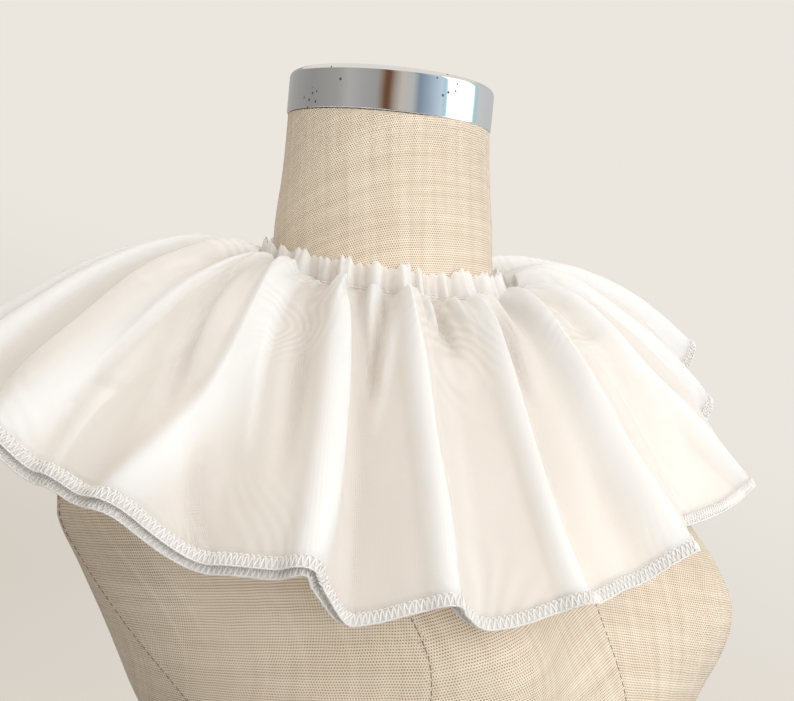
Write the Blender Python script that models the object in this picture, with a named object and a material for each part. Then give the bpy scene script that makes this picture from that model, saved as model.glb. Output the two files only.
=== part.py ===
"""A gathered two-layer ruff collar on a limbless dress form with a chrome neck cap.

Metres, +Z up. The form's front faces -Y and its own right side faces -X. The origin is the middle
of the flat underside that the form stands on. Angles round the neck are in degrees from the front,
positive towards +X. Tables are in millimetres and are measured from the middle of the neck ring.
"""

import math

import bpy
from mathutils import Vector

MM = 0.001

# The neck ring: the top edge of the gathered heading, a circle that dips to the front.
RING_LEVEL = 500.0
RING_LIFT = -1.5
RING_FRONT_DIP = 13.0
RING_SIDE_RISE = 1.5

# The gathered heading that holds the elastic.
HEADING_HEIGHT = 12.0
HEADING_RADIUS = 58.3
HEADING_WALL = 1.4
GATHERS = 48
GATHER_DEPTH = 1.3
GATHER_UNEVEN = 0.28
GATHER_BEATS = 5.0
GATHER_BEAT_START = 0.8
GATHER_DRIFT = 0.5
GATHER_DRIFTS = 7.0
SCALLOP = 1.1
HEADING_WAIST = 0.55
HEADING_LOW_DEPTH = 0.8

# The two organza layers and the overlocked edge of each.
CLOTH_START_RADIUS = 60.2
CLOTH_START_DROP = 0.9
CLOTH_WALL = 1.0
UNDER_START_OFFSET = -1.45
UNDER_OFFSET = -3.6
UNDER_SETTLE = 0.16
SEAM_GAP = 0.3
BAND_WIDTH = 4.2
BAND_WALL = 1.7
START_HANDLE = 46.0
HEM_HANDLE = 60.0
HEM_SPEED = 3.0 * HEM_HANDLE
CREST_SOFTNESS = 0.75
NEAR_NECK_RELIEF = 3.2
RELIEF_RISE_END = 0.16
RELIEF_FADE_START = 0.2
RELIEF_FADE_END = 0.75
GATHER_FADE = 0.24
GATHER_TURN = 0.12

SEGMENTS = 192
UPPER_STATIONS = (0.0, 0.05, 0.13, 0.26, 0.45, 0.70)
UNDER_STATIONS = (0.0, 0.10, 0.26, 0.58)

# The neck cap: a chrome disc with rounded edges, square to the neck. Each round is given as how
# far it lies in from the cap's side, and how far from the cap's underside or top.
CAP_RADIUS = 51.9
CAP_HEIGHT = 21.0
CAP_LIP = ((1.2, 0.0), (0.3, 0.5), (0.0, 1.6))
CAP_ROUND = ((0.0, 3.2), (0.5, 1.6), (1.7, 0.45), (3.4, 0.0))
CAP_TILT = 7.5
CAP_MIDDLE_Y = -4.0
CAP_SEGMENTS = 56
NECK_GAP = 0.3

BODY_SEGMENTS = 44

# Folds round the collar, one row for each crest, and the trough that follows it towards +X.
FOLD_COLUMNS = (
    "neck_angle", "hem_angle", "crest_radius", "crest_level",
    "trough_share", "trough_radius", "trough_level", "rise", "fall",
)
FOLDS = (
    (-175, -166, 210, -62, 0.40, 199, -72, 26, -48),
    (-164, -150, 215, -62, 0.46, 203, -73, 28, -48),
    (-153, -133, 221, -66, 0.40, 208, -79, 32, -50),
    (-141, -117, 226, -70, 0.42, 213, -84, 37, -51),
    (-128, -101, 225, -75, 0.46, 214, -90, 39, -52),
    (-112, -88, 221, -82, 0.50, 211, -98, 37, -53),
    (-95, -74, 208, -107, 0.52, 194, -129, 22, -58),
    (-58, -53, 195, -130, 0.30, 183, -151, -4, -62),
    (-36, -38, 188, -144, 0.32, 180, -154, -8, -64),
    (-1, -21, 184, -147, 0.42, 179, -143, -8, -64),
    (12, -4, 184, -132, 0.20, 162, -126, 2, -66),
    (40, 43, 180, -117, 0.46, 167, -100, 20, -68),
    (58, 62, 186, -77, 0.42, 181, -69, 30, -62),
    (72, 71, 199, -44, 0.50, 196, -38, 30, -42),
    (88, 87, 219, -26, 0.42, 207, -35, 32, -34),
    (104, 104, 222, -35, 0.40, 210, -46, 31, -38),
    (121, 122, 219, -43, 0.45, 206, -55, 28, -42),
    (139, 139, 214, -50, 0.40, 201, -62, 27, -45),
    (158, 157, 210, -56, 0.46, 198, -68, 26, -48),
    (177, 176, 208, -60, 0.40, 196, -71, 26, -48),
)

# How much further than the upper layer the under layer hangs, by middle angle.
UNDER_COLUMNS = ("angle", "longer")
UNDER_HANG = (
    (-180, 0.6),
    (-130, 1.6),
    (-90, 3.2),
    (-68, 2.2),
    (-58, 2.4),
    (-48, -1.8),
    (4, -1.6),
    (34, 0.4),
    (90, 0.4),
    (180, 0.6),
)

# Level sections of the padded form, top to bottom.
BODY_COLUMNS = ("level", "half_width", "front", "back")
BODY_SECTIONS = (
    (66, 51.2, -55.2, 47.2),
    (40, 52.8, -54.6, 50.4),
    (14, 55.4, -55.2, 54.8),
    (-12, 56.2, -55.4, 56.4),
    (-29, 57.0, -55.8, 58.2),
    (-34, 70.0, -57.5, 61.0),
    (-41, 91.0, -62.0, 66.0),
    (-50, 113.0, -67.0, 71.0),
    (-61, 134.0, -73.0, 76.0),
    (-73, 152.0, -80.0, 81.0),
    (-88, 167.0, -89.0, 86.0),
    (-103, 177.0, -98.0, 90.0),
    (-119, 178.0, -107.0, 93.0),
    (-141, 168.0, -119.0, 97.0),
    (-168, 156.0, -132.0, 98.0),
    (-195, 145.0, -143.0, 98.0),
    (-219, 134.0, -146.0, 96.0),
    (-255, 131.0, -138.0, 92.0),
    (-300, 125.0, -120.0, 87.0),
    (-345, 116.0, -104.0, 82.0),
    (-385, 112.0, -98.0, 81.0),
    (-428, 123.0, -103.0, 93.0),
    (-466, 140.0, -110.0, 107.0),
    (-500, 149.0, -113.0, 113.0),
)
BUST_SIDE = 85.0
BUST_LEVEL = -166.0
BUST_SPREAD_ACROSS = 44.0
BUST_SPREAD_ABOVE = 50.0
BUST_SPREAD_BELOW = 41.0
BUST_FULLNESS = 33.0

LINEN = ("linen", (0.66, 0.54, 0.40, 1.0), 0.85, 0.0)
CHROME = ("chrome", (0.72, 0.73, 0.74, 1.0), 0.12, 1.0)
ORGANZA = ("organza", (0.93, 0.90, 0.85, 1.0), 0.55, 0.0)
OVERLOCK_THREAD = ("overlock_thread", (0.95, 0.93, 0.89, 1.0), 0.7, 0.0)


def rows_of(columns, table):
    """The table's rows as dictionaries by column name."""
    return [dict(zip(columns, row)) for row in table]


def clear_scene():
    for thing in list(bpy.data.objects):
        bpy.data.objects.remove(thing, do_unlink=True)


def material_of(recipe):
    name, colour, roughness, metallic = recipe
    made = bpy.data.materials.get(name)
    if made:
        return made
    made = bpy.data.materials.new(name)
    made.use_nodes = True
    shader = made.node_tree.nodes["Principled BSDF"]
    shader.inputs["Base Color"].default_value = colour
    shader.inputs["Roughness"].default_value = roughness
    shader.inputs["Metallic"].default_value = metallic
    return made


def add_object(name, points, triangles, recipe):
    """A smooth-shaded object from points in millimetres about the neck ring's middle."""
    lifted = [(x * MM, y * MM, (z + RING_LEVEL) * MM) for x, y, z in points]
    mesh = bpy.data.meshes.new(name)
    mesh.from_pydata(lifted, [], triangles)
    mesh.validate()
    mesh.shade_smooth()
    mesh.set_sharp_from_angle(angle=math.radians(40))
    mesh.materials.append(material_of(recipe))
    made = bpy.data.objects.new(name, mesh)
    bpy.context.scene.collection.objects.link(made)
    return made


def blend(low, high, share):
    return low + (high - low) * share


def ease(share):
    """Mostly a cosine step, with a little straight run so that crests stay crisp."""
    return blend(share, 0.5 - 0.5 * math.cos(math.pi * share), CREST_SOFTNESS)


def step_between(value, start, end):
    share = min(max((value - start) / (end - start), 0.0), 1.0)
    return share * share * (3.0 - 2.0 * share)


def fold_knots():
    """Crests and troughs in turn, each with its middle angle and the turn between neck and hem."""
    knots = []
    rows = rows_of(FOLD_COLUMNS, FOLDS)
    for index, row in enumerate(rows):
        after = dict(rows[(index + 1) % len(rows)])
        turn = 360.0 if index + 1 == len(rows) else 0.0
        share = row["trough_share"]
        neck = blend(row["neck_angle"], after["neck_angle"] + turn, share)
        hem = blend(row["hem_angle"], after["hem_angle"] + turn, share)
        for kind, at_neck, at_hem, radius, level, mix in (
            (1.0, row["neck_angle"], row["hem_angle"], row["crest_radius"], row["crest_level"], 0.0),
            (-1.0, neck, hem, row["trough_radius"], row["trough_level"], share),
        ):
            knots.append({
                "angle": 0.5 * (at_neck + at_hem),
                "twist": 0.5 * (at_hem - at_neck),
                "radius": radius,
                "level": level,
                "rise": blend(row["rise"], after["rise"], mix),
                "fall": blend(row["fall"], after["fall"], mix),
                "wave": kind,
            })
    return knots


KNOTS = fold_knots()


def fold_at(angle):
    """The fold's values at a middle angle, eased from knot to knot."""
    first = KNOTS[0]["angle"]
    turned = (angle - first) % 360.0 + first
    for index, knot in enumerate(KNOTS):
        after = KNOTS[(index + 1) % len(KNOTS)]
        end = after["angle"] + (360.0 if index + 1 == len(KNOTS) else 0.0)
        if turned < end:
            share = (turned - knot["angle"]) / (end - knot["angle"])
            return {key: blend(knot[key], after[key], ease(share)) for key in knot}
    return KNOTS[0]


def ring_level(angle):
    around = math.radians(angle)
    return RING_LIFT - RING_FRONT_DIP * math.cos(around) + RING_SIDE_RISE * math.sin(around)


def gather_wave(angle):
    """Uneven gathers round the neck, between about -1 and 1."""
    around = math.radians(angle)
    beat = 1.0 + GATHER_UNEVEN * (math.sin(GATHER_BEATS * around + GATHER_BEAT_START) - 1.0)
    return beat * math.sin(GATHERS * around + GATHER_DRIFT * math.sin(GATHER_DRIFTS * around))


def middle_surface(angle, share):
    """A point of the cloth's middle surface without gathers: share 0 at the neck, 1 at the hem."""
    fold = fold_at(angle)
    neck_angle = angle - fold["twist"]
    turn_share = 1.0 - (1.0 - min(share, 1.0)) ** 2
    around = math.radians(neck_angle + 2.0 * fold["twist"] * turn_share)
    rise = math.radians(fold["rise"])
    fall = math.radians(fold["fall"])
    start = (CLOTH_START_RADIUS, ring_level(neck_angle) - HEADING_HEIGHT - CLOTH_START_DROP)
    leave = (start[0] + START_HANDLE * math.cos(rise), start[1] + START_HANDLE * math.sin(rise))
    hem = (fold["radius"], fold["level"])
    reach = (hem[0] - HEM_HANDLE * math.cos(fall), hem[1] - HEM_HANDLE * math.sin(fall))
    rest = 1.0 - share
    weights = (rest ** 3, 3 * rest * rest * share, 3 * rest * share * share, share ** 3)
    radius = sum(w * p[0] for w, p in zip(weights, (start, leave, reach, hem)))
    level = sum(w * p[1] for w, p in zip(weights, (start, leave, reach, hem)))
    return Vector((radius * math.sin(around), -radius * math.cos(around), level))


def surface_normal(angle, share):
    """The upward and outward unit normal of the middle surface."""
    small_angle, small_share = 0.4, 0.01
    across = middle_surface(angle + small_angle, share) - middle_surface(angle - small_angle, share)
    along = middle_surface(angle, share + small_share) - middle_surface(angle, share - small_share)
    return across.cross(along).normalized() * -1.0


def gather_push(angle, share):
    """The gathers' push, straight out from the neck at the stitches and off the cloth further on."""
    neck_angle = angle - fold_at(angle)["twist"]
    around = math.radians(neck_angle)
    outward = Vector((math.sin(around), -math.cos(around), 0.0))
    way = outward.lerp(surface_normal(angle, share), step_between(share, 0.0, GATHER_TURN))
    fade = 1.0 - step_between(share, 0.0, GATHER_FADE)
    return way.normalized() * (GATHER_DEPTH * gather_wave(neck_angle) * fade)


def fold_relief(angle, share):
    """How far the folds stand off the middle surface where they run into the gathers."""
    risen = step_between(share, 0.0, RELIEF_RISE_END)
    faded = step_between(share, RELIEF_FADE_START, RELIEF_FADE_END)
    return NEAR_NECK_RELIEF * risen * (1.0 - faded) * fold_at(angle)["wave"]


def cloth_point(angle, share, offset):
    off = surface_normal(angle, share) * (fold_relief(angle, share) + offset)
    return middle_surface(angle, share) + gather_push(angle, share) + off


def wall_mesh(name, grid, recipe):
    """A closed wall from grid[row][segment] = (outer point, inner point), closed round the neck."""
    rows, segments = len(grid), len(grid[0])
    points = [pair[0] for row in grid for pair in row] + [pair[1] for row in grid for pair in row]
    inner = rows * segments
    triangles = []
    for segment in range(segments):
        after = (segment + 1) % segments
        for row in range(rows - 1):
            a, b = row * segments + segment, row * segments + after
            c, d = a + segments, b + segments
            triangles += [(a, c, b), (b, c, d)]
            triangles += [(a + inner, b + inner, c + inner), (b + inner, d + inner, c + inner)]
        top_a, top_b = segment, after
        low_a, low_b = (rows - 1) * segments + segment, (rows - 1) * segments + after
        triangles += [(top_a, top_b, top_a + inner), (top_b, top_b + inner, top_a + inner)]
        triangles += [(low_a, low_a + inner, low_b), (low_b, low_a + inner, low_b + inner)]
    return add_object(name, points, triangles, recipe)


def angles_round(count):
    return [360.0 * index / count - 180.0 for index in range(count)]


def longer_by(angle):
    """How much further than the upper layer the under layer hangs."""
    rows = rows_of(UNDER_COLUMNS, UNDER_HANG)
    for row, after in zip(rows, rows[1:]):
        if angle <= after["angle"]:
            return blend(row["longer"], after["longer"], step_between(angle, row["angle"], after["angle"]))
    return rows[-1]["longer"]


def layer_offset(share, under):
    """How far the layer's middle lies off the cloth surface: none for the upper one."""
    if not under:
        return 0.0
    return blend(UNDER_START_OFFSET, UNDER_OFFSET, step_between(share, 0.0, UNDER_SETTLE))


def wall_pair(angle, share, offset, wall):
    """The outer and inner point of a wall about the offset surface."""
    return tuple(cloth_point(angle, share, offset + side * wall) for side in (0.5, -0.5))


def make_layer(name, stations, under):
    """One organza layer from the heading's stitches to the overlocked edge."""
    grid = []
    for station in list(stations) + [None]:
        row = []
        for angle in angles_round(SEGMENTS):
            hem_share = 1.0 + (longer_by(angle) if under else 0.0) / HEM_SPEED
            end = hem_share - (BAND_WIDTH + SEAM_GAP) / HEM_SPEED
            share = end if station is None else station
            row.append(wall_pair(angle, share, layer_offset(share, under), CLOTH_WALL))
        grid.append(row)
    return wall_mesh(name, grid, ORGANZA)


def make_band(name, under):
    """The overlocked edge: thread wrapped over the layer's raw edge."""
    grid = []
    for from_hem in (BAND_WIDTH, 0.0):
        row = []
        for angle in angles_round(SEGMENTS):
            share = 1.0 + ((longer_by(angle) if under else 0.0) - from_hem) / HEM_SPEED
            row.append(wall_pair(angle, share, layer_offset(share, under), BAND_WALL))
        grid.append(row)
    return wall_mesh(name, grid, OVERLOCK_THREAD)


def make_heading():
    """The gathered heading round the neck, with its scalloped top edge."""
    grid = []
    for share in (0.0, HEADING_WAIST, 1.0):
        row = []
        for angle in angles_round(SEGMENTS):
            around = math.radians(angle)
            wave = gather_wave(angle)
            radius = HEADING_RADIUS + GATHER_DEPTH * wave * blend(1.0, HEADING_LOW_DEPTH, share)
            level = ring_level(angle) - HEADING_HEIGHT * share + SCALLOP * wave * (1.0 - share)
            pair = []
            for side in (0.5, -0.5):
                out = radius + side * HEADING_WALL
                pair.append(Vector((out * math.sin(around), -out * math.cos(around), level)))
            row.append(tuple(pair))
        grid.append(row)
    return wall_mesh("gathered_heading", grid, ORGANZA)


def bust_at(x, y, level):
    """How far the padded bust pushes a front point forward."""
    if y > 0.0:
        return 0.0
    across = (abs(x) - BUST_SIDE) / BUST_SPREAD_ACROSS
    spread = BUST_SPREAD_ABOVE if level > BUST_LEVEL else BUST_SPREAD_BELOW
    up = (level - BUST_LEVEL) / spread
    return BUST_FULLNESS * math.exp(-across * across - up * up)


def section_points(section):
    """A level section of the form: an oval, with the bust pushed out of it."""
    middle = 0.5 * (section["front"] + section["back"])
    depth = 0.5 * (section["back"] - section["front"])
    points = []
    for index in range(BODY_SEGMENTS):
        around = 2.0 * math.pi * index / BODY_SEGMENTS
        x = section["half_width"] * math.sin(around)
        y = middle - depth * math.cos(around)
        y -= bust_at(x, y, section["level"])
        points.append(Vector((x, y, section["level"])))
    return points


def closed_loft(name, rings, recipe):
    """Rings from top to bottom joined by triangles, with a flat fan at each end."""
    count = len(rings[0])
    points = [point for ring in rings for point in ring]
    triangles = []
    for row in range(len(rings) - 1):
        for index in range(count):
            after = (index + 1) % count
            a, b = row * count + index, row * count + after
            triangles += [(a, a + count, b), (b, a + count, b + count)]
    top = len(points)
    points.append(sum(rings[0], Vector()) / count)
    bottom = len(points)
    points.append(sum(rings[-1], Vector()) / count)
    last = (len(rings) - 1) * count
    for index in range(count):
        after = (index + 1) % count
        triangles.append((top, index, after))
        triangles.append((bottom, last + after, last + index))
    return add_object(name, points, triangles, recipe)


def tilted(point, pivot):
    """The point turned about the X axis through pivot, so that its front dips."""
    turn = math.radians(CAP_TILT)
    y, z = point.y - pivot.y, point.z - pivot.z
    return Vector((
        point.x,
        pivot.y + y * math.cos(turn) - z * math.sin(turn),
        pivot.z + y * math.sin(turn) + z * math.cos(turn),
    ))


def make_body():
    """The padded linen form, its neck cut square under the cap and its underside flat."""
    rings = [section_points(section) for section in rows_of(BODY_COLUMNS, BODY_SECTIONS)]
    pivot = Vector((0.0, CAP_MIDDLE_Y, BODY_SECTIONS[0][0]))
    rings[0] = [tilted(point, pivot) for point in rings[0]]
    return closed_loft("form_body", rings, LINEN)


def make_cap():
    """The chrome neck cap: rounded over at the top, a small round at the bottom lip."""
    profile = [(CAP_RADIUS - inset, height) for inset, height in CAP_LIP]
    profile += [(CAP_RADIUS - inset, CAP_HEIGHT - drop) for inset, drop in CAP_ROUND]
    pivot = Vector((0.0, CAP_MIDDLE_Y, BODY_SECTIONS[0][0]))
    rings = []
    for radius, height in reversed(profile):
        ring = []
        for index in range(CAP_SEGMENTS):
            around = 2.0 * math.pi * index / CAP_SEGMENTS
            flat = Vector((radius * math.sin(around), CAP_MIDDLE_Y - radius * math.cos(around), 0.0))
            flat.z = BODY_SECTIONS[0][0] + NECK_GAP + height
            ring.append(tilted(flat, pivot))
        rings.append(ring)
    return closed_loft("neck_cap", rings, CHROME)


clear_scene()
make_body()
make_cap()
make_heading()
make_layer("collar_upper", UPPER_STATIONS, under=False)
make_layer("collar_under", UNDER_STATIONS, under=True)
make_band("edge_upper", under=False)
make_band("edge_under", under=True)
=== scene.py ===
"""The finished look of a sheer gathered ruff collar worn by a linen-covered dress form.

Metres, +Z up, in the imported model's frame: the origin is the middle of the form's flat underside, the
form's front faces -Y and its own right side faces -X. Tables give millimetres about the middle of the
neck ring, and angles in degrees from the front, positive towards +X.
"""

import math

import bmesh
import bpy
import numpy as np
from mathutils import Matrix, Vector


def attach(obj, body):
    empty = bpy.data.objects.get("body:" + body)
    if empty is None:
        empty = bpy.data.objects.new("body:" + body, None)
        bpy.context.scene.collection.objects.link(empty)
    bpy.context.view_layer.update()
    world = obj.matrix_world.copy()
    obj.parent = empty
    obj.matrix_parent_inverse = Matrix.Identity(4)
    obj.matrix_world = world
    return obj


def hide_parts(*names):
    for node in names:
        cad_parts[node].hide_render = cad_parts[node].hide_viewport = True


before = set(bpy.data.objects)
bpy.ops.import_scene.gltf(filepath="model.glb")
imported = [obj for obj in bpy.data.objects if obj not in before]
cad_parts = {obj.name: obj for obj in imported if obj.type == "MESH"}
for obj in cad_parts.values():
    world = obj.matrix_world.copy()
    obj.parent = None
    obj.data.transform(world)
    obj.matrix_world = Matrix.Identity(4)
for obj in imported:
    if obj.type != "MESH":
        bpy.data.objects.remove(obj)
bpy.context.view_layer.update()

# Camera. It stands at the form's right front, a little below the neck ring, and looks almost level.
CAMERA_PLACE = (-0.4243, -0.4243, 0.434)
CAMERA_TURN = (91.65, 0.0, -45.68)
CAMERA_LENS = 53.5

scene = bpy.context.scene
scene.view_settings.view_transform = "Standard"
camera_data = bpy.data.cameras.new("camera")
camera_data.lens = CAMERA_LENS
camera_data.sensor_width = 36.0
camera_data.clip_start = 0.01
camera = bpy.data.objects.new("camera", camera_data)
camera.location = CAMERA_PLACE
camera.rotation_euler = [math.radians(turn) for turn in CAMERA_TURN]
scene.collection.objects.link(camera)
scene.camera = camera


# Studio. A pale floor runs into a pale turned wall. A tall window light stands at the camera's right, a
# low room light nearer the camera and a soft one overhead. A ring that only reflections see gives the
# neck cap something to mirror.
FLOOR_RADIUS = 3.4
WALL_HEIGHT = 3.2
WALL_BEND = 1.1
BACKDROP_AROUND = 96
BACKDROP_HIGH = (0.832, 0.793, 0.735)
BACKDROP_LOW = (0.640, 0.590, 0.520)
# The wall glows in its own colour, which rises from the low one to the high one over this span of heights,
# in metres, and the rise leans to one side: painted shade, darker low down and towards the camera's left.
# The floor gives way to it between these distances from the form.
BACKDROP_SPAN = (-0.7, 0.75)
BACKDROP_LEAN = -0.27
FLOOR_COLOUR = (0.78, 0.75, 0.70)
FLOOR_SPAN = (0.55, 1.5)
FLOOR_DROP = 0.0006
DAYLIGHT = (1.0, 0.953, 0.89)
DAYLIGHT_HIGH = 0.90
DAYLIGHT_LOW = 0.26
WINDOW_AIM = (0.0, 0.0, 0.42)
WINDOW_PLACE = (0.98, -1.51, 0.95)
WINDOW_SIZE = (0.75, 1.5)
WINDOW_POWER = 3.0
WINDOW_COLOUR = (0.96, 0.98, 1.0)
ROOM_AIM = (0.0, 0.0, 0.38)
ROOM_PLACE = (-0.38, -1.86, 0.66)
ROOM_SIZE = 1.8
ROOM_POWER = 30.0
ROOM_COLOUR = (0.96, 0.98, 1.0)
OVERHEAD_AIM = (0.0, 0.0, 0.45)
OVERHEAD_PLACE = (-0.5, -0.2, 2.1)
OVERHEAD_SIZE = 1.2
OVERHEAD_POWER = 4.0
OVERHEAD_COLOUR = (1.0, 0.98, 0.95)


def link_mesh(name, points, faces):
    """A new object at the origin from points in metres."""
    mesh = bpy.data.meshes.new(name)
    mesh.from_pydata([tuple(point) for point in points], [], [tuple(face) for face in faces])
    mesh.validate()
    made = bpy.data.objects.new(name, mesh)
    scene.collection.objects.link(made)
    return made


def turned_points(profile, count):
    """Rings of points about the Z axis, one for each (radius, height) of a profile."""
    turns = [2.0 * math.pi * index / count for index in range(count)]
    return np.array([
        (radius * math.cos(turn), radius * math.sin(turn), height)
        for radius, height in profile for turn in turns
    ])


def ring_faces(rings, count):
    """Quads between closed rings of points, lowest ring first."""
    faces = []
    for row in range(rings - 1):
        for index in range(count):
            after = (index + 1) % count
            a, b = row * count + index, row * count + after
            faces.append((a, b, b + count, a + count))
    return faces


def new_material(name):
    """An empty material with nodes."""
    made = bpy.data.materials.new(name)
    made.use_nodes = True
    made.node_tree.nodes.clear()
    return made


def node(tree, kind, **settings):
    """A new node with its settings."""
    made = tree.nodes.new(kind)
    for key, value in settings.items():
        setattr(made, key, value)
    return made


def math_node(tree, operation, *values, clamp=False):
    """A Math node whose inputs are sockets or numbers, as its output socket."""
    made = node(tree, "ShaderNodeMath", operation=operation, use_clamp=clamp)
    for socket, value in zip(made.inputs, values):
        if isinstance(value, (int, float)):
            socket.default_value = value
        else:
            tree.links.new(value, socket)
    return made.outputs[0]


def map_range(tree, value, start, end, low, high, smooth=True):
    """The value eased from start..end to low..high, as a socket."""
    made = node(tree, "ShaderNodeMapRange", interpolation_type="SMOOTHSTEP" if smooth else "LINEAR")
    tree.links.new(value, made.inputs["Value"])
    for key, number in (("From Min", start), ("From Max", end), ("To Min", low), ("To Max", high)):
        made.inputs[key].default_value = number
    return made.outputs["Result"]


def mix_colours(tree, share, first, second):
    """A colour mix by a share socket; each colour is a socket or an RGB tuple."""
    made = node(tree, "ShaderNodeMix", data_type="RGBA")
    tree.links.new(share, made.inputs["Factor"])
    for socket, value in ((made.inputs[6], first), (made.inputs[7], second)):
        if isinstance(value, tuple):
            socket.default_value = (*value, 1.0)
        else:
            tree.links.new(value, socket)
    return made.outputs[2]


def mix_shaders(tree, share, first, second):
    """A mix of two shader nodes by a share, which is a socket or a number."""
    made = node(tree, "ShaderNodeMixShader")
    if isinstance(share, float):
        made.inputs[0].default_value = share
    else:
        tree.links.new(share, made.inputs[0])
    tree.links.new(first.outputs[0], made.inputs[1])
    tree.links.new(second.outputs[0], made.inputs[2])
    return made


def bumped(tree, height, strength, distance):
    """A normal socket, bumped by a height socket."""
    made = node(tree, "ShaderNodeBump")
    made.inputs["Strength"].default_value = strength
    made.inputs["Distance"].default_value = distance
    tree.links.new(height, made.inputs["Height"])
    return made.outputs[0]


def set_surface(tree, shader):
    """Makes a shader node the material's surface."""
    output = node(tree, "ShaderNodeOutputMaterial")
    tree.links.new(shader.outputs[0], output.inputs["Surface"])


def backdrop_material():
    """A lit floor round the form that fades into a wall shown at its own brightness, with painted shade low
    down and to one side.
    """
    made = new_material("studio_backdrop")
    tree = made.node_tree
    place = node(tree, "ShaderNodeTexCoord")
    parts = node(tree, "ShaderNodeSeparateXYZ")
    tree.links.new(place.outputs["Object"], parts.inputs[0])
    out = math_node(tree, "SQRT", math_node(
        tree, "ADD",
        math_node(tree, "MULTIPLY", parts.outputs["X"], parts.outputs["X"]),
        math_node(tree, "MULTIPLY", parts.outputs["Y"], parts.outputs["Y"]),
    ))
    leftward = math_node(tree, "SUBTRACT", parts.outputs["Y"], parts.outputs["X"])
    lowered = math_node(tree, "MULTIPLY_ADD", leftward, BACKDROP_LEAN, parts.outputs["Z"])
    height = map_range(tree, lowered, *BACKDROP_SPAN, 0.0, 1.0)
    colour = mix_colours(tree, height, BACKDROP_LOW, BACKDROP_HIGH)
    glow = node(tree, "ShaderNodeEmission")
    tree.links.new(colour, glow.inputs["Color"])
    floor = node(tree, "ShaderNodeBsdfDiffuse")
    floor.inputs["Color"].default_value = (*FLOOR_COLOUR, 1.0)
    set_surface(tree, mix_shaders(tree, map_range(tree, out, *FLOOR_SPAN, 0.0, 1.0), floor, glow))
    return made


def make_backdrop():
    """A flat floor that bends up into a turned wall."""
    flat = FLOOR_RADIUS - WALL_BEND
    profile = [(0.02, 0.0), (0.4, 0.0), (0.9, 0.0), (1.5, 0.0), (flat, 0.0)]
    for step in range(1, 13):
        turn = 0.5 * math.pi * step / 12
        profile.append((flat + WALL_BEND * math.sin(turn), WALL_BEND * (1.0 - math.cos(turn))))
    profile.append((FLOOR_RADIUS, WALL_HEIGHT))
    wall = link_mesh(
        "studio_backdrop",
        turned_points(profile, BACKDROP_AROUND), ring_faces(len(profile), BACKDROP_AROUND),
    )
    wall.location.z = -FLOOR_DROP
    wall.data.shade_smooth()
    wall.data.materials.append(backdrop_material())
    wall.visible_shadow = False
    wall.visible_glossy = False
    wall.visible_diffuse = False


def aim(thing, target):
    """Turns a light so that it shines at a place."""
    way = Vector(target) - thing.location
    thing.rotation_euler = way.to_track_quat("-Z", "Y").to_euler()


def area_light(name, place, size, power, colour, target):
    """A rectangular light aimed at a place."""
    data = bpy.data.lights.new(name, "AREA")
    data.shape = "RECTANGLE"
    data.size, data.size_y = size
    data.energy = power
    data.color = colour
    made = bpy.data.objects.new(name, data)
    made.location = place
    made.visible_glossy = False
    scene.collection.objects.link(made)
    aim(made, target)
    return made


# A ring of soft light and shade for the cap's reflections, by angle at the form from the camera's side
# towards its right, in degrees, with the colour shown there.
RING_COLUMNS = ("angle", "red", "green", "blue")
REFLECTIONS = (
    (-180, 0.50, 0.49, 0.47),
    (-130, 0.40, 0.38, 0.36),
    (-95, 0.33, 0.32, 0.31),
    (-60, 0.40, 0.38, 0.36),
    (-45, 0.50, 0.49, 0.47),
    (-26, 0.42, 0.41, 0.40),
    (-14, 0.40, 0.38, 0.36),
    (-9, 0.30, 0.22, 0.17),
    (-5, 0.16, 0.07, 0.035),
    (-1, 0.17, 0.08, 0.04),
    (4, 0.40, 0.32, 0.26),
    (12, 0.62, 0.58, 0.52),
    (24, 0.56, 0.56, 0.55),
    (31, 0.25, 0.31, 0.38),
    (42, 0.40, 0.49, 0.59),
    (56, 0.66, 0.76, 0.86),
    (62, 0.42, 0.72, 0.82),
    (65, 1.90, 1.90, 1.88),
    (100, 1.90, 1.90, 1.88),
    (104, 0.40, 0.66, 0.74),
    (112, 0.68, 0.69, 0.69),
    (150, 0.60, 0.60, 0.59),
    (180, 0.50, 0.50, 0.50),
)
REFLECTION_RADIUS = 2.3
REFLECTION_LOW = -1.5
REFLECTION_HIGH = 2.2


def make_reflections():
    """The ring of light and shade that only reflections see."""
    facing = math.atan2(CAMERA_PLACE[1], CAMERA_PLACE[0])
    rows = np.array(REFLECTIONS)
    angles = np.arange(-180.0, 180.5, 1.0)
    channels = dict(zip(RING_COLUMNS, rows.T))
    colours = np.stack([
        np.interp(angles, channels["angle"], channels[colour]) for colour in ("red", "green", "blue")
    ], axis=-1)
    points = []
    for angle in angles:
        turn = facing + math.radians(angle)
        spot = (REFLECTION_RADIUS * math.cos(turn), REFLECTION_RADIUS * math.sin(turn))
        points += [(*spot, REFLECTION_LOW), (*spot, REFLECTION_HIGH)]
    faces = [(2 * s, 2 * s + 1, 2 * s + 3, 2 * s + 2) for s in range(len(angles) - 1)]
    ring = link_mesh("reflection_ring", points, faces)
    glow_colours = ring.data.attributes.new("glow", "FLOAT_COLOR", "POINT")
    opaque = np.concatenate([np.repeat(colours, 2, axis=0), np.ones((len(points), 1))], axis=1)
    glow_colours.data.foreach_set("color", opaque.astype(np.float32).ravel())
    made = new_material("reflection_ring")
    shown = node(made.node_tree, "ShaderNodeAttribute", attribute_name="glow")
    glow = node(made.node_tree, "ShaderNodeEmission")
    made.node_tree.links.new(shown.outputs["Color"], glow.inputs["Color"])
    set_surface(made.node_tree, glow)
    ring.data.materials.append(made)
    ring.visible_camera = False
    ring.visible_diffuse = False
    ring.visible_transmission = False
    ring.visible_shadow = False


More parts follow.
